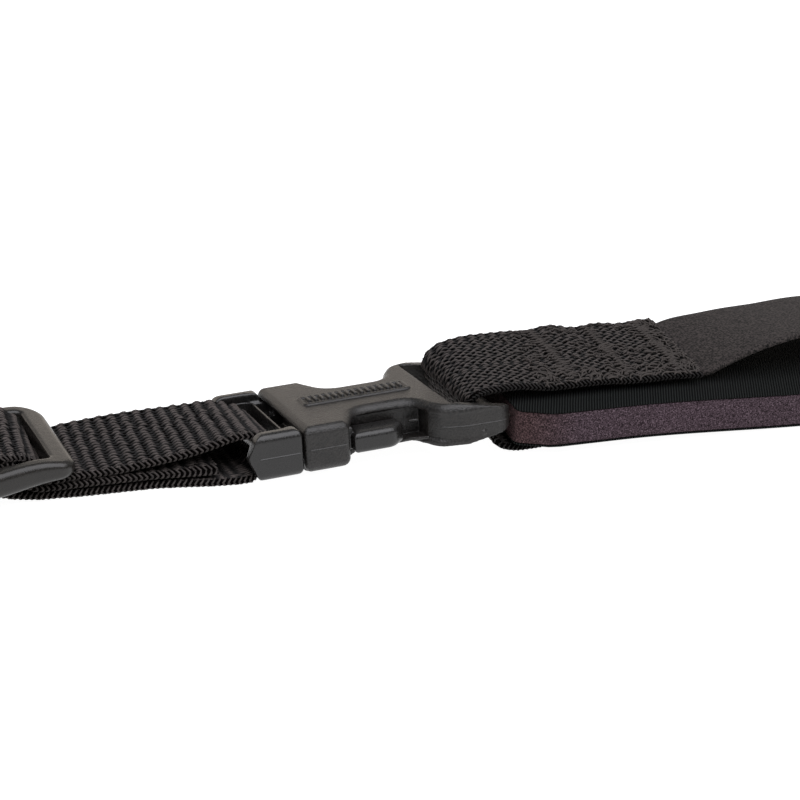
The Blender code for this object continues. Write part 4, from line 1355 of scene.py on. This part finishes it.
def makePlug(shape):
    top, low, wide = socketShape["halfHeight"], -socketShape["blockDepth"], socketShape["blockHalf"]
    start, end, nose, half = shape["start"], shape["end"], shape["nose"], shape["windowHalf"]
    grid = makeGrid((-0.0114, -0.0148, -0.0054), (0.0208, 0.0148, 0.0048), shape["cell"])
    # s, then y or h, and corner radius
    base = [(nose, -wide, 0.0022), (end, -wide, 0.0007)]
    side = [(start - 0.0008, low, 0.0012), (end, low, 0.0006), (end, top, 0.0006)]
    side += [(start - 0.0008, top, 0.0022), (nose, -0.0004, 0.001), (start - 0.0016, -0.0024, 0.0008)]
    body = np.maximum(plan(grid, bothSides(base), low, top, 0.0015), fromSide(grid, side))
    window = bothSides([(nose - 0.005, -half, 0.0), (shape["windowEnd"], -half, 0.0014)])
    body = cut(body, plan(grid, window, -0.01, 0.01, 0.0), 0.0006)
    # the cross wall stays low, with a groove along it and a thin lip round the window
    wall = block(grid, (-0.0034, -half + 0.0004, 0.0022), (0.001, half - 0.0004, 0.008), 0.0006)
    body = cut(body, wall, 0.0004)
    inner = bothSides([(nose - 0.005, -0.0102, 0.0), (-0.0024, -0.0102, 0.0018)])
    lip = np.maximum(np.abs(fromAbove(grid, inner)) - 0.0002, np.abs(grid["h"] + 0.0002) - 0.003)
    body = join(body, np.maximum(lip, -0.0058 - grid["s"]), 0.0002)
    body = join(body, crossBar(grid, buckle["plugBar"], half + 0.001), 0.0008)
    # tongue, arms and release tabs
    body = join(body, block(grid, (end - 0.001, -0.003, -0.0022), (0.02, 0.003, 0.0022), 0.0006))
    arm = [(end - 0.001, -0.0116, 0.0), (0.01, -0.0116, 0.0), (0.01, -0.008, 0.0), (end - 0.001, -0.008, 0.0)]
    tab = [(0.0096, -0.0135, 0.0004), (0.0176, -0.0135, 0.003), (0.0201, -0.0108, 0.001)]
    tab += [(0.0201, -0.0076, 0.0005), (0.0096, -0.0076, 0.0)]
    body = join(body, plan(folded(grid), arm, -0.0023, 0.0022, 0.0006))
    body = join(body, plan(folded(grid), tab, -0.0027, 0.0013, 0.0012))
    groove = block(grid, (-0.0019, -half + 0.001, 0.0), (0.0014, half - 0.001, 0.008), 0.0003)
    body = cut(body, groove, 0.0003)
    piece = gridPiece("bucklePlugLeft", grid, body, finishes["plug"], shape["keep"], buckleFrame())
    addPartingLines(piece, [[(s, -wide, -0.0003) for s in (-0.0086, -0.0045, -0.001)]])
    return piece


sliderShape = {
    "halfLength": 0.013,
    "halfWidth": 0.0143,
    "halfHeight": 0.0017,
    "corner": 0.0052,
    "frontCorner": 0.0032,
    "edge": 0.0013,
    "windowHalf": 0.0109,
    "windowEnd": 0.0087,
    "thin": 0.75,
    "roll": 5.6,
    "yaw": 2.5,
    "lift": 0.0003,
    "cell": 0.0002,
    "keep": 0.28,
}


def makeSlider(shape):
    long, wide, high = shape["halfLength"], shape["halfWidth"], shape["halfHeight"]
    low = (-long - 0.0008, -wide - 0.0008, -0.0032)
    grid = makeGrid(low, (long + 0.0008, wide + 0.0008, 0.0052), shape["cell"])
    bend = np.vectorize(sliderRise)(grid["axes"][0])[:, None, None]
    swell = slider["swell"] + (shape["thin"] - slider["swell"]) * (grid["s"] / long) ** 2
    straight = dict(grid, h=(grid["h"] - bend) / swell)
    front, corner = shape["frontCorner"], shape["corner"]
    outline = [(-long, -wide, front), (long, -wide, front), (long, wide, corner), (-long, wide, corner)]
    body = slab(fromAbove(grid, outline, 10), straight["h"], -high, high, shape["edge"])
    near, far, half = slider["window"], shape["windowEnd"], shape["windowHalf"]
    for way in (-1, 1):
        hole = bothSides([(near * way, -half, 0.0005), (far * way, -half, 0.001)])[::way]
        body = cut(body, fromAbove(grid, hole) + 0.0 * straight["h"], 0.0009)
    for way in (-1, 1):
        under, over = sorted((slider["barHalfHeight"] * way, 0.006 * way))
        shelf = block(straight, (-near - 0.001, -half, under), (near + 0.001, half, over), 0.0002)
        body = cut(body, shelf, 0.0004)
    at = Vector(slider["place"]) + Vector((0.0, 0.0, shape["lift"]))
    turn = Matrix.Rotation(math.radians(shape["yaw"]), 4, "Z")
    place = Matrix.Translation(at) @ turn @ Matrix.Rotation(math.radians(shape["roll"]), 4, "X")
    return gridPiece("sliderLeft", grid, body, finishes["slider"], shape["keep"], place)


socketLeft = makeSocket(socketShape)
plugLeft = makePlug(plugShape)
sliderLeft = makeSlider(sliderShape)
print("buckle and slider moulded")

# every piece with what it stands for and its finish, the right end mirrored from the left one


def mirrored(piece):
    name = piece.name.replace("Left", "Right")
    mesh = piece.data.copy()
    mesh.name = name
    mesh.transform(Matrix.Scale(-1.0, 4, (1.0, 0.0, 0.0)))
    mesh.flip_normals()
    return link(bpy.data.objects.new(name, mesh))


stands = [
    (foam, "pad_foam_core", "foam"),
    (jerseyTop, "pad_jersey_top", "top_jersey"),
    (jerseyBottom, "pad_jersey_bottom", "bottom_jersey"),
    (controlBand, "stretch_control_band", "control_band"),
]
for left, node, slotName in (
    (strapLeft, "strap_webbing", "strap_webbing"),
    (padWebLeft, "pad_end_webbing", "pad_webbing"),
    (padThreadLeft, None, "pad_webbing"),
    (strapThreadLeft, None, "strap_webbing"),
    (socketLeft, "buckle_socket", "socket_plastic"),
    (plugLeft, "buckle_plug", "plug_plastic"),
    (sliderLeft, "slider", "slider_plastic"),
):
    for piece, side in ((left, "_left"), (mirrored(left), "_right")):
        stands.append((piece, node and node + side, slotName))

for piece, node, slotName in stands:
    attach(piece, "root")
    if node:
        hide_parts(node)

stations = padStations(pad["station"])
widths = [padHalfWidth(min(u, 2 * pad["halfLength"] - u)) for u in stations]
padArea = sum((b - a) * (p + q) for a, b, p, q in zip(stations, stations[1:], widths, widths[1:]))
bandLength = walk(bandRows(), band["step"])[-1]["along"]

print("all pieces ride")
